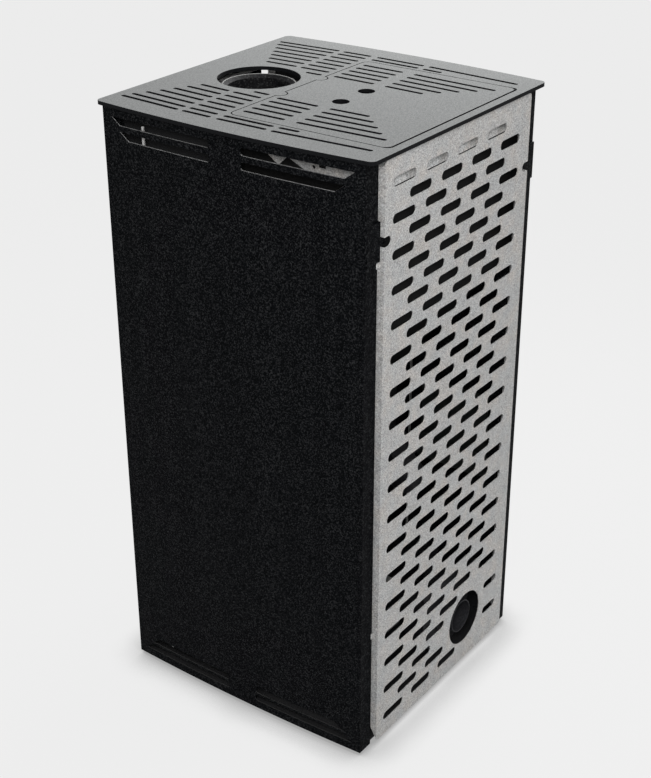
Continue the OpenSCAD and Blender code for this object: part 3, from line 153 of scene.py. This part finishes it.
# Camera, light and floor
def add_camera():
    data = bpy.data.cameras.new("camera")
    data.lens = LENS
    data.sensor_fit = "VERTICAL"
    data.sensor_height = SENSOR
    data.clip_end = 50
    camera = bpy.data.objects.new("camera", data)
    tilt = Matrix.Rotation(radians(90 - CAMERA_ELEVATION), 4, "X")
    turn = Matrix.Rotation(radians(CAMERA_AZIMUTH), 4, "Z")
    roll = Matrix.Rotation(radians(CAMERA_ROLL), 4, "Z")
    camera.matrix_world = Matrix.Translation(CAMERA_AT) @ turn @ tilt @ roll
    bpy.context.scene.collection.objects.link(camera)
    bpy.context.scene.camera = camera


def add_lamps():
    for name, (at, target, size, watts) in LAMPS.items():
        data = bpy.data.lights.new(name, "AREA")
        data.shape = "RECTANGLE"
        data.size = size[0]
        data.size_y = size[1]
        data.energy = watts
        lamp = bpy.data.objects.new(name, data)
        lamp.location = at
        lamp.rotation_euler = (Vector(target) - Vector(at)).to_track_quat("-Z", "Y").to_euler()
        lamp.visible_camera = False
        bpy.context.scene.collection.objects.link(lamp)


def add_world():
    """Even light from all sides, behind a pale backdrop"""
    world = bpy.data.worlds.new("studio")
    world.use_nodes = True
    tree = world.node_tree
    tree.nodes.clear()
    link = tree.links.new
    out = tree.nodes.new("ShaderNodeOutputWorld")
    light = tree.nodes.new("ShaderNodeBackground")
    light.inputs["Color"].default_value = WHITE
    light.inputs["Strength"].default_value = EVEN_LIGHT
    seen = tree.nodes.new("ShaderNodeBackground")
    seen.inputs["Color"].default_value = PALE
    mix = tree.nodes.new("ShaderNodeMixShader")
    link(seen_directly(tree), mix.inputs[0])
    link(light.outputs[0], mix.inputs[1])
    link(seen.outputs[0], mix.inputs[2])
    link(mix.outputs[0], out.inputs["Surface"])
    bpy.context.scene.world = world


def seen_directly(tree):
    """1 for what the camera sees itself, in a reflection or through glass"""
    path = tree.nodes.new("ShaderNodeLightPath")
    first = tree.nodes.new("ShaderNodeMath")
    first.operation = "MAXIMUM"
    tree.links.new(path.outputs["Is Camera Ray"], first.inputs[0])
    tree.links.new(path.outputs["Is Glossy Ray"], first.inputs[1])
    both = tree.nodes.new("ShaderNodeMath")
    both.operation = "MAXIMUM"
    tree.links.new(first.outputs[0], both.inputs[0])
    tree.links.new(path.outputs["Is Transmission Ray"], both.inputs[1])
    return both.outputs[0]


def add_floor():
    """A pale floor: a plain glow for the camera, darker round the stove as a painted shadow, with a faint
    lamp shadow
    """
    bpy.ops.mesh.primitive_plane_add(size=FLOOR_WIDTH, location=(0, 0, -FLOOR_DROP))
    floor = bpy.context.object
    floor.name = "floor"
    material = bpy.data.materials.new("floor")
    material.use_nodes = True
    tree = material.node_tree
    tree.nodes.clear()
    link = tree.links.new
    out = tree.nodes.new("ShaderNodeOutputMaterial")
    matt = tree.nodes.new("ShaderNodeBsdfDiffuse")
    matt.inputs["Color"].default_value = FLOOR_MATT
    near = tree.nodes.new("ShaderNodeAmbientOcclusion")
    near.samples = 16
    near.inputs["Distance"].default_value = SHADOW_REACH
    tone = tree.nodes.new("ShaderNodeMapRange")
    levels = {"From Min": SHADED_FROM, "From Max": OPEN_FROM, "To Min": FLOOR_SHADE, "To Max": FLOOR_GLOW}
    for key, number in levels.items():
        tone.inputs[key].default_value = number
    link(near.outputs["AO"], tone.inputs["Value"])
    glow = tree.nodes.new("ShaderNodeEmission")
    glow.inputs["Color"].default_value = WHITE
    link(tone.outputs["Result"], glow.inputs["Strength"])
    both = tree.nodes.new("ShaderNodeAddShader")
    plain = tree.nodes.new("ShaderNodeBsdfDiffuse")
    plain.inputs["Color"].default_value = FLOOR_BOUNCE
    mix = tree.nodes.new("ShaderNodeMixShader")
    link(matt.outputs[0], both.inputs[0])
    link(glow.outputs[0], both.inputs[1])
    link(seen_directly(tree), mix.inputs[0])
    link(plain.outputs[0], mix.inputs[1])
    link(both.outputs[0], mix.inputs[2])
    link(mix.outputs[0], out.inputs["Surface"])
    floor.data.materials.append(material)


# Building blocks of the finishes
class Finish:
    """A material under construction, with its principled shader and a place for more nodes"""

    def __init__(self, name, color, rough, metal=0.0, specular=0.5):
        self.material = bpy.data.materials.new(name)
        self.material.use_nodes = True
        self.tree = self.material.node_tree
        self.shader = self.tree.nodes["Principled BSDF"]
        self.shader.inputs["Base Color"].default_value = (*color, 1)
        self.shader.inputs["Roughness"].default_value = rough
        self.shader.inputs["Metallic"].default_value = metal
        self.shader.inputs["Specular IOR Level"].default_value = specular
        self.place = self.node("ShaderNodeTexCoord").outputs["Object"]

    def node(self, kind, **settings):
        made = self.tree.nodes.new(kind)
        for key, value in settings.items():
            setattr(made, key, value)
        return made

    def link(self, a, b):
        self.tree.links.new(a, b)

    def set(self, socket, value):
        if isinstance(value, bpy.types.NodeSocket):
            self.link(value, self.shader.inputs[socket])
        else:
            self.shader.inputs[socket].default_value = value

    def stretched(self, scale):
        mapping = self.node("ShaderNodeMapping")
        mapping.inputs["Scale"].default_value = scale
        self.link(self.place, mapping.inputs["Vector"])
        return mapping.outputs["Vector"]

    def noise(self, per_metre, detail=2.0, rough=0.5, place=None):
        made = self.node("ShaderNodeTexNoise")
        made.inputs["Scale"].default_value = per_metre
        made.inputs["Detail"].default_value = detail
        made.inputs["Roughness"].default_value = rough
        self.link(place or self.place, made.inputs["Vector"])
        return made.outputs["Fac"]

    def cells(self, per_metre):
        made = self.node("ShaderNodeTexVoronoi")
        made.inputs["Scale"].default_value = per_metre
        self.link(self.place, made.inputs["Vector"])
        return made

    def ramp(self, value, stops):
        made = self.node("ShaderNodeValToRGB")
        while len(made.color_ramp.elements) < len(stops):
            made.color_ramp.elements.new(0.5)
        for element, (at, color) in zip(made.color_ramp.elements, stops):
            element.position = at
            element.color = (*color, 1)
        self.link(value, made.inputs["Fac"])
        return made.outputs["Color"]

    def range(self, value, low, high, to_low, to_high):
        made = self.node("ShaderNodeMapRange")
        levels = {"From Min": low, "From Max": high, "To Min": to_low, "To Max": to_high}
        for key, number in levels.items():
            made.inputs[key].default_value = number
        self.link(value, made.inputs["Value"])
        return made.outputs["Result"]

    def mix(self, factor, a, b, blend="MIX"):
        made = self.node("ShaderNodeMix", data_type="RGBA", blend_type=blend)
        for socket, value in ((made.inputs[0], factor), (made.inputs[6], a), (made.inputs[7], b)):
            if isinstance(value, bpy.types.NodeSocket):
                self.link(value, socket)
            elif isinstance(value, (int, float)):
                socket.default_value = value
            else:
                socket.default_value = (*value, 1)
        return made.outputs[2]

    def grey(self, value):
        made = self.node("ShaderNodeCombineColor")
        for socket in made.inputs[:3]:
            self.link(value, socket)
        return made.outputs[0]

    def channel(self, value, index):
        """One of the three numbers of a colour or a place"""
        split = self.node("ShaderNodeSeparateXYZ")
        self.link(value, split.inputs[0])
        return split.outputs[index]

    def math(self, operation, a, b):
        made = self.node("ShaderNodeMath", operation=operation)
        for socket, value in ((made.inputs[0], a), (made.inputs[1], b)):
            if isinstance(value, bpy.types.NodeSocket):
                self.link(value, socket)
            else:
                socket.default_value = value
        return made.outputs[0]

    def bump(self, height, depth, strength):
        made = self.node("ShaderNodeBump")
        made.inputs["Distance"].default_value = depth
        made.inputs["Strength"].default_value = strength
        self.link(height, made.inputs["Height"])
        self.link(made.outputs["Normal"], self.shader.inputs["Normal"])


# Finishes
def casing_paint():
    f = Finish("casing_black", (0.004, 0.0044, 0.0052), 0.6, specular=0.02)
    flecks = f.channel(f.cells(620).outputs["Color"], 0)
    grain = f.noise(300, detail=2, rough=0.6)
    tones = [(0.0, (0.0001, 0.0002, 0.0004)), (0.35, (0.0012, 0.0015, 0.0020)),
             (0.62, (0.0050, 0.0054, 0.0062)), (1.0, (0.0230, 0.0236, 0.0248))]
    f.set("Base Color", f.ramp(f.math("MULTIPLY", flecks, f.range(grain, 0.3, 0.7, 0.6, 1.3)), tones))
    f.bump(grain, 0.0002, 0.3)
    return f.material


def louvre_lip_highlight():
    """Painted highlight: the lips of the louvres that look up are grey, more so on the upper ones"""
    f = Finish("casing_black_lip_highlight", (0.05, 0.05, 0.05), 0.5, specular=0.2)
    grain = f.noise(330, detail=2, rough=0.6)
    grey = f.ramp(grain, [(0.35, (0.09, 0.09, 0.09)), (0.65, (0.24, 0.24, 0.24))])
    height = f.channel(f.place, 2)
    f.set("Base Color", f.mix(f.range(height, 0.3, 0.7, 0, 1), (0.022, 0.022, 0.022), grey))
    return f.material


def plate_paint():
    f = Finish("top_grey", (0.160, 0.163, 0.163), 0.6, specular=0.0)
    grain = f.noise(520, detail=2, rough=0.6)
    cloud = f.noise(5, detail=2)
    grey = f.ramp(grain, [(0.30, (0.115, 0.1175, 0.117)), (0.70, (0.207, 0.2110, 0.2105))])
    f.set("Base Color", f.mix(f.range(cloud, 0.3, 0.7, 0, 0.12), grey, (0.14, 0.143, 0.14)))
    f.set("Roughness", f.range(grain, 0.3, 0.7, 0.55, 0.65))
    f.bump(grain, 0.0001, 0.2)
    return f.material


def galvanised(name="galvanised_steel", lift=1.0):
    """Mottled zinc with fine specks. Lift makes it lighter, as painted light on the rear panel's bends and
    on the hopper rim
    """
    f = Finish(name, (0.48, 0.47, 0.46), 0.6, metal=0.12, specular=0.3)
    speck = f.noise(420, detail=2, rough=0.8)
    cloud = f.noise(38, detail=3, rough=0.6)
    spangle = f.channel(f.cells(90).outputs["Color"], 0)
    flecks = f.channel(f.cells(640).outputs["Color"], 1)
    tones = ((0.36, (0.445, 0.450, 0.450)), (0.52, (0.470, 0.464, 0.456)), (0.66, (0.490, 0.468, 0.446)))
    shades = ((0.26, 0.42), (0.50, 0.81), (0.74, 1.22))
    tint = f.ramp(cloud, [(at, tuple(lift * c for c in tone)) for at, tone in tones])
    shade = f.ramp(speck, [(at, (level, level, level)) for at, level in shades])
    spots = f.math("MULTIPLY", f.range(spangle, 0, 1, 0.95, 1.05), f.range(flecks, 0, 1, 0.72, 1.26))
    f.set("Base Color", f.mix(1.0, f.mix(1.0, tint, shade, "MULTIPLY"), f.grey(spots), "MULTIPLY"))
    f.set("Roughness", f.range(speck, 0.3, 0.7, 0.5, 0.72))
    f.bump(speck, 0.0002, 0.25)
    return f.material


def cad_top(node):
    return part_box(node)[1][2]


def collar_paint():
    """Black paint inside the collar, with a painted highlight in grey on its uppermost lip"""
    f = Finish("collar_steel", (0.02, 0.02, 0.02), 0.6, specular=0.08)
    flecks = f.channel(f.cells(500).outputs["Color"], 0)
    tones = [(0.0, (0.001, 0.001, 0.001)), (0.7, (0.006, 0.006, 0.007)), (1.0, (0.03, 0.03, 0.03))]
    black = f.ramp(flecks, tones)
    top = cad_top("flue_collar")
    # Painted highlight: the top half millimetre of the collar turns grey
    lip = f.range(f.channel(f.place, 2), top - 0.0005, top - 0.0001, 0, 1)
    f.set("Base Color", f.mix(lip, black, (0.20, 0.20, 0.195)))
    return f.material


def dark_paint(name, color, rough=0.6, grain_size=500, level=0.3):
    f = Finish(name, color, rough, specular=level)
    grain = f.noise(grain_size, detail=3, rough=0.6)
    darker = tuple(0.6 * c for c in color)
    lighter = tuple(1.6 * c for c in color)
    f.set("Base Color", f.ramp(grain, [(0.3, darker), (0.5, color), (0.72, lighter)]))
    f.bump(grain, 0.0002, 0.3)
    return f.material


def lining_board():
    f = Finish("lining_stone", (0.50, 0.44, 0.35), 0.9, specular=0.2)
    flakes = f.cells(260)
    tones = [(0.0, (0.36, 0.31, 0.24)), (0.5, (0.50, 0.44, 0.35)), (1.0, (0.62, 0.56, 0.46))]
    fleck = f.ramp(flakes.outputs["Color"], tones)
    soot = f.noise(7, detail=4, rough=0.6)
    f.set("Base Color", f.mix(f.range(soot, 0.45, 0.7, 0, 0.35), fleck, (0.10, 0.09, 0.08)))
    f.bump(flakes.outputs["Distance"], 0.0008, 0.5)
    return f.material


def cast_iron():
    f = Finish("cast_pot", (0.08, 0.08, 0.085), 0.7, metal=0.6, specular=0.4)
    grain = f.noise(700, detail=4, rough=0.7)
    ash = f.noise(30, detail=4, rough=0.6)
    iron = f.ramp(grain, [(0.3, (0.05, 0.05, 0.052)), (0.7, (0.12, 0.118, 0.115))])
    f.set("Base Color", f.mix(f.range(ash, 0.5, 0.75, 0, 0.4), iron, (0.25, 0.23, 0.21)))
    f.bump(grain, 0.0004, 0.6)
    return f.material


def brushed_steel():
    """Bright steel with fine upright lines"""
    color = (0.55, 0.55, 0.56)
    rough = 0.3
    f = Finish("bright_steel", color, rough, metal=1.0)
    lines = f.noise(1.0, detail=3, rough=0.6, place=f.stretched((900, 900, 60)))
    darker = tuple(0.82 * c for c in color)
    lighter = tuple(min(1.0, 1.12 * c) for c in color)
    f.set("Base Color", f.ramp(lines, [(0.3, darker), (0.7, lighter)]))
    f.set("Roughness", f.range(lines, 0.3, 0.7, rough - 0.06, rough + 0.1))
    f.bump(lines, 0.00005, 0.3)
    return f.material


def door_glass():
    f = Finish("door_glass", (0.10, 0.10, 0.11), 0.05, specular=0.6)
    haze = f.noise(9, detail=3)
    f.set("Base Color", f.mix(haze, (0.02, 0.02, 0.022), (0.05, 0.048, 0.045)))
    f.set("Alpha", 0.45)
    return f.material


def display_glass():
    f = Finish("display_glass", (0.01, 0.01, 0.012), 0.12, specular=0.6)
    f.set("Roughness", f.range(f.noise(60), 0.3, 0.7, 0.08, 0.18))
    return f.material


def rope_yarn():
    f = Finish("rope_seal", (0.06, 0.06, 0.06), 0.95, specular=0.1)
    wave = f.node("ShaderNodeTexWave", bands_direction="DIAGONAL")
    wave.inputs["Scale"].default_value = 110
    wave.inputs["Distortion"].default_value = 2.5
    f.link(f.place, wave.inputs["Vector"])
    tones = [(0.0, (0.03, 0.03, 0.03)), (1.0, (0.11, 0.108, 0.105))]
    f.set("Base Color", f.ramp(wave.outputs["Fac"], tones))
    f.bump(wave.outputs["Fac"], 0.0008, 0.7)
    return f.material


def moulded(name, color, rough=0.5, grain_size=1400, depth=0.00008):
    f = Finish(name, color, rough, specular=0.4)
    grain = f.noise(grain_size, detail=2)
    darker = tuple(0.8 * c for c in color)
    lighter = tuple(1.25 * c for c in color)
    f.set("Base Color", f.ramp(grain, [(0.35, darker), (0.65, lighter)]))
    f.bump(grain, depth, 0.4)
    return f.material


def board_laminate():
    f = Finish("board_black", (0.012, 0.014, 0.013), 0.35, specular=0.5)
    tracks = f.node("ShaderNodeTexBrick")
    tracks.inputs["Scale"].default_value = 90
    tracks.inputs["Mortar Size"].default_value = 0.03
    tracks.inputs["Color1"].default_value = (0.010, 0.012, 0.011, 1)
    tracks.inputs["Color2"].default_value = (0.014, 0.016, 0.015, 1)
    tracks.inputs["Mortar"].default_value = (0.030, 0.033, 0.031, 1)
    turned = f.node("ShaderNodeMapping")
    turned.inputs["Rotation"].default_value = (0, radians(90), 0)
    f.link(f.place, turned.inputs["Vector"])
    f.link(turned.outputs["Vector"], tracks.inputs["Vector"])
    f.set("Base Color", tracks.outputs["Color"])
    return f.material


def make_finishes():
    return {
        "casing_black": casing_paint(),
        "top_grey": plate_paint(),
        "galvanised_steel": galvanised(),
        "firebox_steel": dark_paint("firebox_steel", (0.012, 0.012, 0.013), 0.65, level=0.08),
        "hopper_black": dark_paint("hopper_black", (0.009, 0.009, 0.009), 0.6, level=0.04),
        "lining_stone": lining_board(),
        "cast_pot": cast_iron(),
        "bright_steel": brushed_steel(),
        "collar_steel": collar_paint(),
        "door_glass": door_glass(),
        "display_glass": display_glass(),
        "rope_seal": rope_yarn(),
        "rubber_black": moulded("rubber_black", (0.02, 0.02, 0.02), 0.8, 900, 0.0002),
        "fascia_black": moulded("fascia_black", (0.015, 0.015, 0.016), 0.45),
        "button_grey": moulded("button_grey", (0.30, 0.30, 0.31), 0.4),
        "board_black": board_laminate(),
        "motor_black": dark_paint("motor_black", (0.016, 0.016, 0.018), 0.5, 300, level=0.12),
    }


def make_second_finishes():
    """Finishes of a few faces of a piece, beside that of its slot"""
    return {
        # Painted shade: the plate and lid are grey on top, dark on their sides and slot walls, one paint
        # lit from above
        "plate_shaded_edge": dark_paint("top_grey_shaded_edge", (0.0045, 0.0048, 0.0055), 0.65, level=0.06),
        # Painted highlight on the up-facing lips of the louvres
        "louvre_lip_highlight": louvre_lip_highlight(),
        # Painted highlight on the rear panel's upright bends, and painted light on their return strips
        "galvanised_bend_highlight": galvanised("galvanised_steel_bend_highlight", 1.6),
        # Painted dim light: one dark grey for inner faces deep in the stove, which the lamps barely reach
        "inner_dim_light": dark_paint("casing_black_dim_light", (0.024, 0.024, 0.025), 0.7, 620, level=0.02),
        # Painted light: zinc made lighter on the hopper rim, which the lamps reach only through the rear
        # slots
        "galvanised_inner_painted_light": galvanised("galvanised_steel_inner_painted_light", 1.75),
    }


# Rounded edges: a copy of a CAD node, in place, with its sharp edges turned into small radii
def cleaned(node):
    """The node's mesh with its seams closed and its flat faces whole"""
    bm = bmesh.new()
    bm.from_mesh(frame["nodes"][node].data)
    bmesh.ops.remove_doubles(bm, verts=bm.verts, dist=SEAM)
    flat = radians(FLAT_UP_TO)
    bmesh.ops.dissolve_limit(
        bm, angle_limit=flat, use_dissolve_boundaries=False, verts=bm.verts, edges=bm.edges)
    bmesh.ops.recalc_face_normals(bm, faces=bm.faces)
    return bm


def sharp_edges(bm):
    least = radians(SOFTEN_FROM)
    return [e for e in bm.edges if len(e.link_faces) == 2 and e.calc_face_angle(0) > least]


def soften(bm, edges, radius, steps):
    bmesh.ops.bevel(
        bm, geom=edges, offset=radius, segments=steps, affect="EDGES", clamp_overlap=True, profile=0.5)


def rounded(node, radius, wide=None, wide_radius=0.0):
    """Stands for a CAD node. Edges for which wide(edge) is true get the wide radius, the rest the other"""
    bm = cleaned(node)
    if wide is not None:
        soften(bm, [e for e in sharp_edges(bm) if wide(e)], wide_radius, BEND_STEPS)
    soften(bm, sharp_edges(bm), radius, SMALL_STEPS)
    return piece_from(bm, node + "_shape", body_holding(node), slot_of(node), node)


def body_holding(node):
    return next(body for body, nodes in frame["record"]["behaviour"]["bodies"].items() if node in nodes)


def slot_of(node):
    return next(s["material_slot"] for s in frame["record"]["subparts"] if s["node"] == node)


def piece_from(bm, name, body, slot, *nodes):
    """A piece of the scene on a body. It stands for the nodes that are named"""
    mesh = bpy.data.meshes.new(name)
    bm.to_mesh(mesh)
    bm.free()
    for polygon in mesh.polygons:
        polygon.use_smooth = True
    mesh.set_sharp_from_angle(angle=radians(CREASE_FROM))
    mesh.materials.append(finishes[slot])
    piece = bpy.data.objects.new(name, mesh)
    bpy.context.scene.collection.objects.link(piece)
    weighted = piece.modifiers.new("flat_faces", "WEIGHTED_NORMAL")
    weighted.keep_sharp = True
    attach(piece, body)
    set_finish(piece, slot)
    if nodes:
        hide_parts(*nodes)
    return piece


def finish_nodes():
    """Gives every CAD node its finish. The hinge pins, in the seam of the lid, are blackened"""
    for node, shape in frame["nodes"].items():
        finish = second["plate_shaded_edge"] if node == "lid_hinge_pins" else finishes[slot_of(node)]
        shape.data.materials.clear()
        shape.data.materials.append(finish)
        shape["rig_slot"] = slot_of(node)


def second_finish(piece, name, chosen):
    """Gives the faces for which chosen(face) is true another finish"""
    piece.data.materials.append(second[name])
    for face in piece.data.polygons:
        if chosen(face):
            face.material_index = 1


rear_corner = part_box("rear_panel")[1]


def on_bend(face):
    return abs(face.normal.x) > BEND_SHARE and abs(face.center.x) > rear_corner[0] - BEND_ZONE


def straight_bend(edge):
    """The two upright outer corners of the rear panel"""
    a, b = (v.co for v in edge.verts)
    behind = min(a.y, b.y) > rear_corner[1] - BEND_PLACE
    outside = abs(a.x) > rear_corner[0] - BEND_PLACE
    return abs(a.z - b.z) > BEND_LEAST_LENGTH and behind and outside


# Radius in mm of the softened edges of each node
ROUNDED = {
    "side_panel_left": 0.4, "side_panel_right": 0.4, "top_plate": 0.55, "hopper_lid": 0.55,
    "panel_catches": 0.5, "front_header": 0.4, "lower_front_panel": 0.4, "door_frame": 1.5,
    "ash_drawer_front": 1.5, "hopper_rim": 0.3, "combustion_chamber": 0.6, "base_plate": 0.5, "feet": 1.5,
    "header_rail": 0.4, "flue_collar": 0.25, "air_inlet_spigot": 0.8, "door_handle": 1.2,
    "door_hinges": 0.6, "glass_clips": 0.4, "control_fascia": 1.0, "display_pane": 0.6,
    "button_power": 0.8, "button_plus": 0.8, "button_minus": 0.8, "power_switch": 0.5, "ash_drawer": 0.4,
    "burn_pot": 0.8, "baffle_plate": 1.5, "pot_air_box": 0.6, "blower_housing": 0.8, "blower_motor": 1.5,
    "room_fan_housing": 0.6, "room_fan_motor": 1.5, "auger_motor": 1.2, "pellet_chute": 0.5,
    "auger_tube": 0.5, "side_linings": 1.5, "rear_lining": 1.5, "igniter": 0.5, "ash_bay": 0.5,
    "support_legs": 0.5, "rear_uprights": 0.5,
}


def is_louvre_lip(face):
    """Faces of the louvres that look up, without the rims of the panel"""
    at = face.center
    inside = abs(at.y) < cad_box[1][1] - LIP_INSET_DEPTH
    between = LIP_INSET_HEIGHT < at.z < cad_box[1][2] - LIP_INSET_HEIGHT
    return face.normal.z > LIP_SHARE and inside and between


def is_plate_edge(face):
    return face.normal.z < FLAT_SHARE


def looks_sideways(face):
    return abs(face.normal.x) > SIDE_SHARE


def not_sideways(face):
    return abs(face.normal.x) < SIDE_SHARE


def looks_forward(face):
    return face.normal.y < -SIDE_SHARE


def any_face(face):
    return True


# Second finish of a piece, and the faces that get it
SECOND_FINISHES = {
    # The sides and slot walls of the top plate and the lid get painted shade
    "top_plate": ("plate_shaded_edge", is_plate_edge),
    "hopper_lid": ("plate_shaded_edge", is_plate_edge),
    # The side panels' up-facing louvre lips get a painted highlight
    "side_panel_left": ("louvre_lip_highlight", is_louvre_lip),
    "side_panel_right": ("louvre_lip_highlight", is_louvre_lip),
    # The hopper rim's faces behind the rear slots get painted light
    "hopper_rim": ("galvanised_inner_painted_light", not_sideways),
    # Inner faces deep in the stove get a painted dim light
    "header_rail": ("inner_dim_light", looks_forward),
    "front_header": ("inner_dim_light", looks_sideways),
    "base_plate": ("inner_dim_light", any_face),
    "support_legs": ("inner_dim_light", any_face),
    # The rear panel's bends and return strips get a painted highlight
    "rear_panel": ("galvanised_bend_highlight", on_bend),
}


def add_rounded_nodes():
    pieces = {node: rounded(node, radius * MM) for node, radius in ROUNDED.items()}
    pieces["rear_panel"] = rounded("rear_panel", REAR_EDGE, wide=straight_bend, wide_radius=REAR_BEND)
    for node, (name, chosen) in SECOND_FINISHES.items():
        second_finish(pieces[node], name, chosen)
    raise_curbs(pieces["base_plate"])
    trim_rear_skirt(pieces["hopper_rim"])


def raise_curbs(piece):
    """The curbs behind the low louvres reach up to the mains inlet, so that no floor shows through: raised
    dark sheets as painted shade behind the louvres
    """
    top = cad_top("base_plate")
    for corner in piece.data.vertices:
        if corner.co.z > top - END_ZONE:
            corner.co.z += CURB_LIFT


def trim_rear_skirt(piece):
    """The rear skirt ends just above the foot of the top row of slots, where a thin dark line shows"""
    low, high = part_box("hopper_rim")
    for corner in piece.data.vertices:
        if corner.co.y > high[1] - END_ZONE and corner.co.z < low[2] + END_ZONE:
            corner.co.z += SKIRT_LIFT


# Raised marks on the three buttons
def add_block(bm, place, size):
    bmesh.ops.create_cube(bm, size=1, matrix=place @ Matrix.Diagonal((*size, 1)))


def add_button_marks():
    """A plus, a minus and a power mark, each from bars: a size, and how far it sits above the middle"""
    upright = (MARK_LINE, MARK_HEIGHT, MARK_LENGTH)
    level = (MARK_LENGTH, MARK_HEIGHT, MARK_LINE)
    marks = {
        "button_plus": ((upright, 0), (level, 0)),
        "button_minus": ((level, 0),),
        "button_power": ((upright, MARK_LENGTH / 3),),
    }
    for node, bars in marks.items():
        low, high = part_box(node)
        at = Vector(((low[0] + high[0]) / 2, low[1], (low[2] + high[2]) / 2))
        bm = bmesh.new()
        for size, above in bars:
            add_block(bm, Matrix.Translation(at + Vector((0, 0, above))), size)
        if node == "button_power":
            add_open_ring(bm, at)
        piece_from(bm, node + "_mark", body_holding(node), "fascia_black")


def add_open_ring(bm, at):
    """A ring of short bars, open at the top"""
    step = 2 * pi / MARK_PARTS
    size = (MARK_LINE, MARK_HEIGHT, MARK_RADIUS * step * MARK_OVERLAP)
    for i in range(MARK_PARTS - MARK_GAP):
        turn = pi / 2 + step * (i + (MARK_GAP + 1) / 2)
        spot = at + Vector((MARK_RADIUS * cos(turn), 0, MARK_RADIUS * sin(turn)))
        add_block(bm, Matrix.Translation(spot) @ Matrix.Rotation(-turn, 4, "Y"), size)


# Rope seal of the door: a closed round rope of twisted strands in the door's groove
def add_door_rope():
    low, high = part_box("door_gasket")
    r = (high[1] - low[1]) / 2
    mid = Vector(((low[0] + high[0]) / 2, (low[1] + high[1]) / 2, (low[2] + high[2]) / 2))
    path = spaced(rope_route((high[0] - low[0]) / 2 - r, (high[2] - low[2]) / 2 - r), ROPE_STEP)
    turns = round(len(path) / ROPE_LAY)
    bm = bmesh.new()
    rings = []
    for i, at in enumerate(path):
        along = (path[(i + 1) % len(path)] - path[i - 1]).normalized()
        side = along.cross(Vector((0, 1, 0)))
        lay = 2 * pi * turns * i / len(path) / ROPE_STRANDS
        ring = []
        for k in range(ROPE_SIDES):
            a = 2 * pi * k / ROPE_SIDES
            bulge = r * (1 - ROPE_BULGE + ROPE_BULGE * cos(ROPE_STRANDS * (a - lay)))
            out = side * (bulge * cos(a)) + Vector((0, bulge * sin(a), 0))
            ring.append(bm.verts.new(mid + at + out))
        rings.append(ring)
    for ring, after in zip(rings, rings[1:] + rings[:1]):
        for k in range(ROPE_SIDES):
            bm.faces.new((ring[k], ring[k - 1], after[k - 1], after[k]))
    bmesh.ops.recalc_face_normals(bm, faces=bm.faces)
    piece_from(bm, "door_rope", body_holding("door_gasket"), "rope_seal", "door_gasket")


def rope_route(x, z):
    """The middle line of the rope round the door, from half its width and half its height"""
    r = ROPE_CORNER
    route = []
    for cx, cz, start in ((x - r, z - r, 0), (r - x, z - r, 90), (r - x, r - z, 180), (x - r, r - z, 270)):
        for a in range(start, start + 91, ROPE_CORNER_STEP):
            route.append(Vector((cx + r * cos(radians(a)), 0, cz + r * sin(radians(a)))))
    return route


def spaced(route, step):
    """A closed route cut into even steps"""
    lengths = [(route[(i + 1) % len(route)] - p).length for i, p in enumerate(route)]
    count = round(sum(lengths) / step)
    each = sum(lengths) / count
    points = []
    i = 0
    done = 0.0
    for k in range(count):
        while done + lengths[i] < k * each and i < len(route) - 1:
            done += lengths[i]
            i += 1
        part = (k * each - done) / lengths[i] if lengths[i] else 0
        points.append(route[i].lerp(route[(i + 1) % len(route)], part))
    return points


add_camera()
add_world()
add_lamps()
add_floor()
finishes = make_finishes()
second = make_second_finishes()
finish_nodes()
add_rounded_nodes()
add_door_rope()
add_button_marks()

bpy.context.scene.view_settings.view_transform = "Standard"
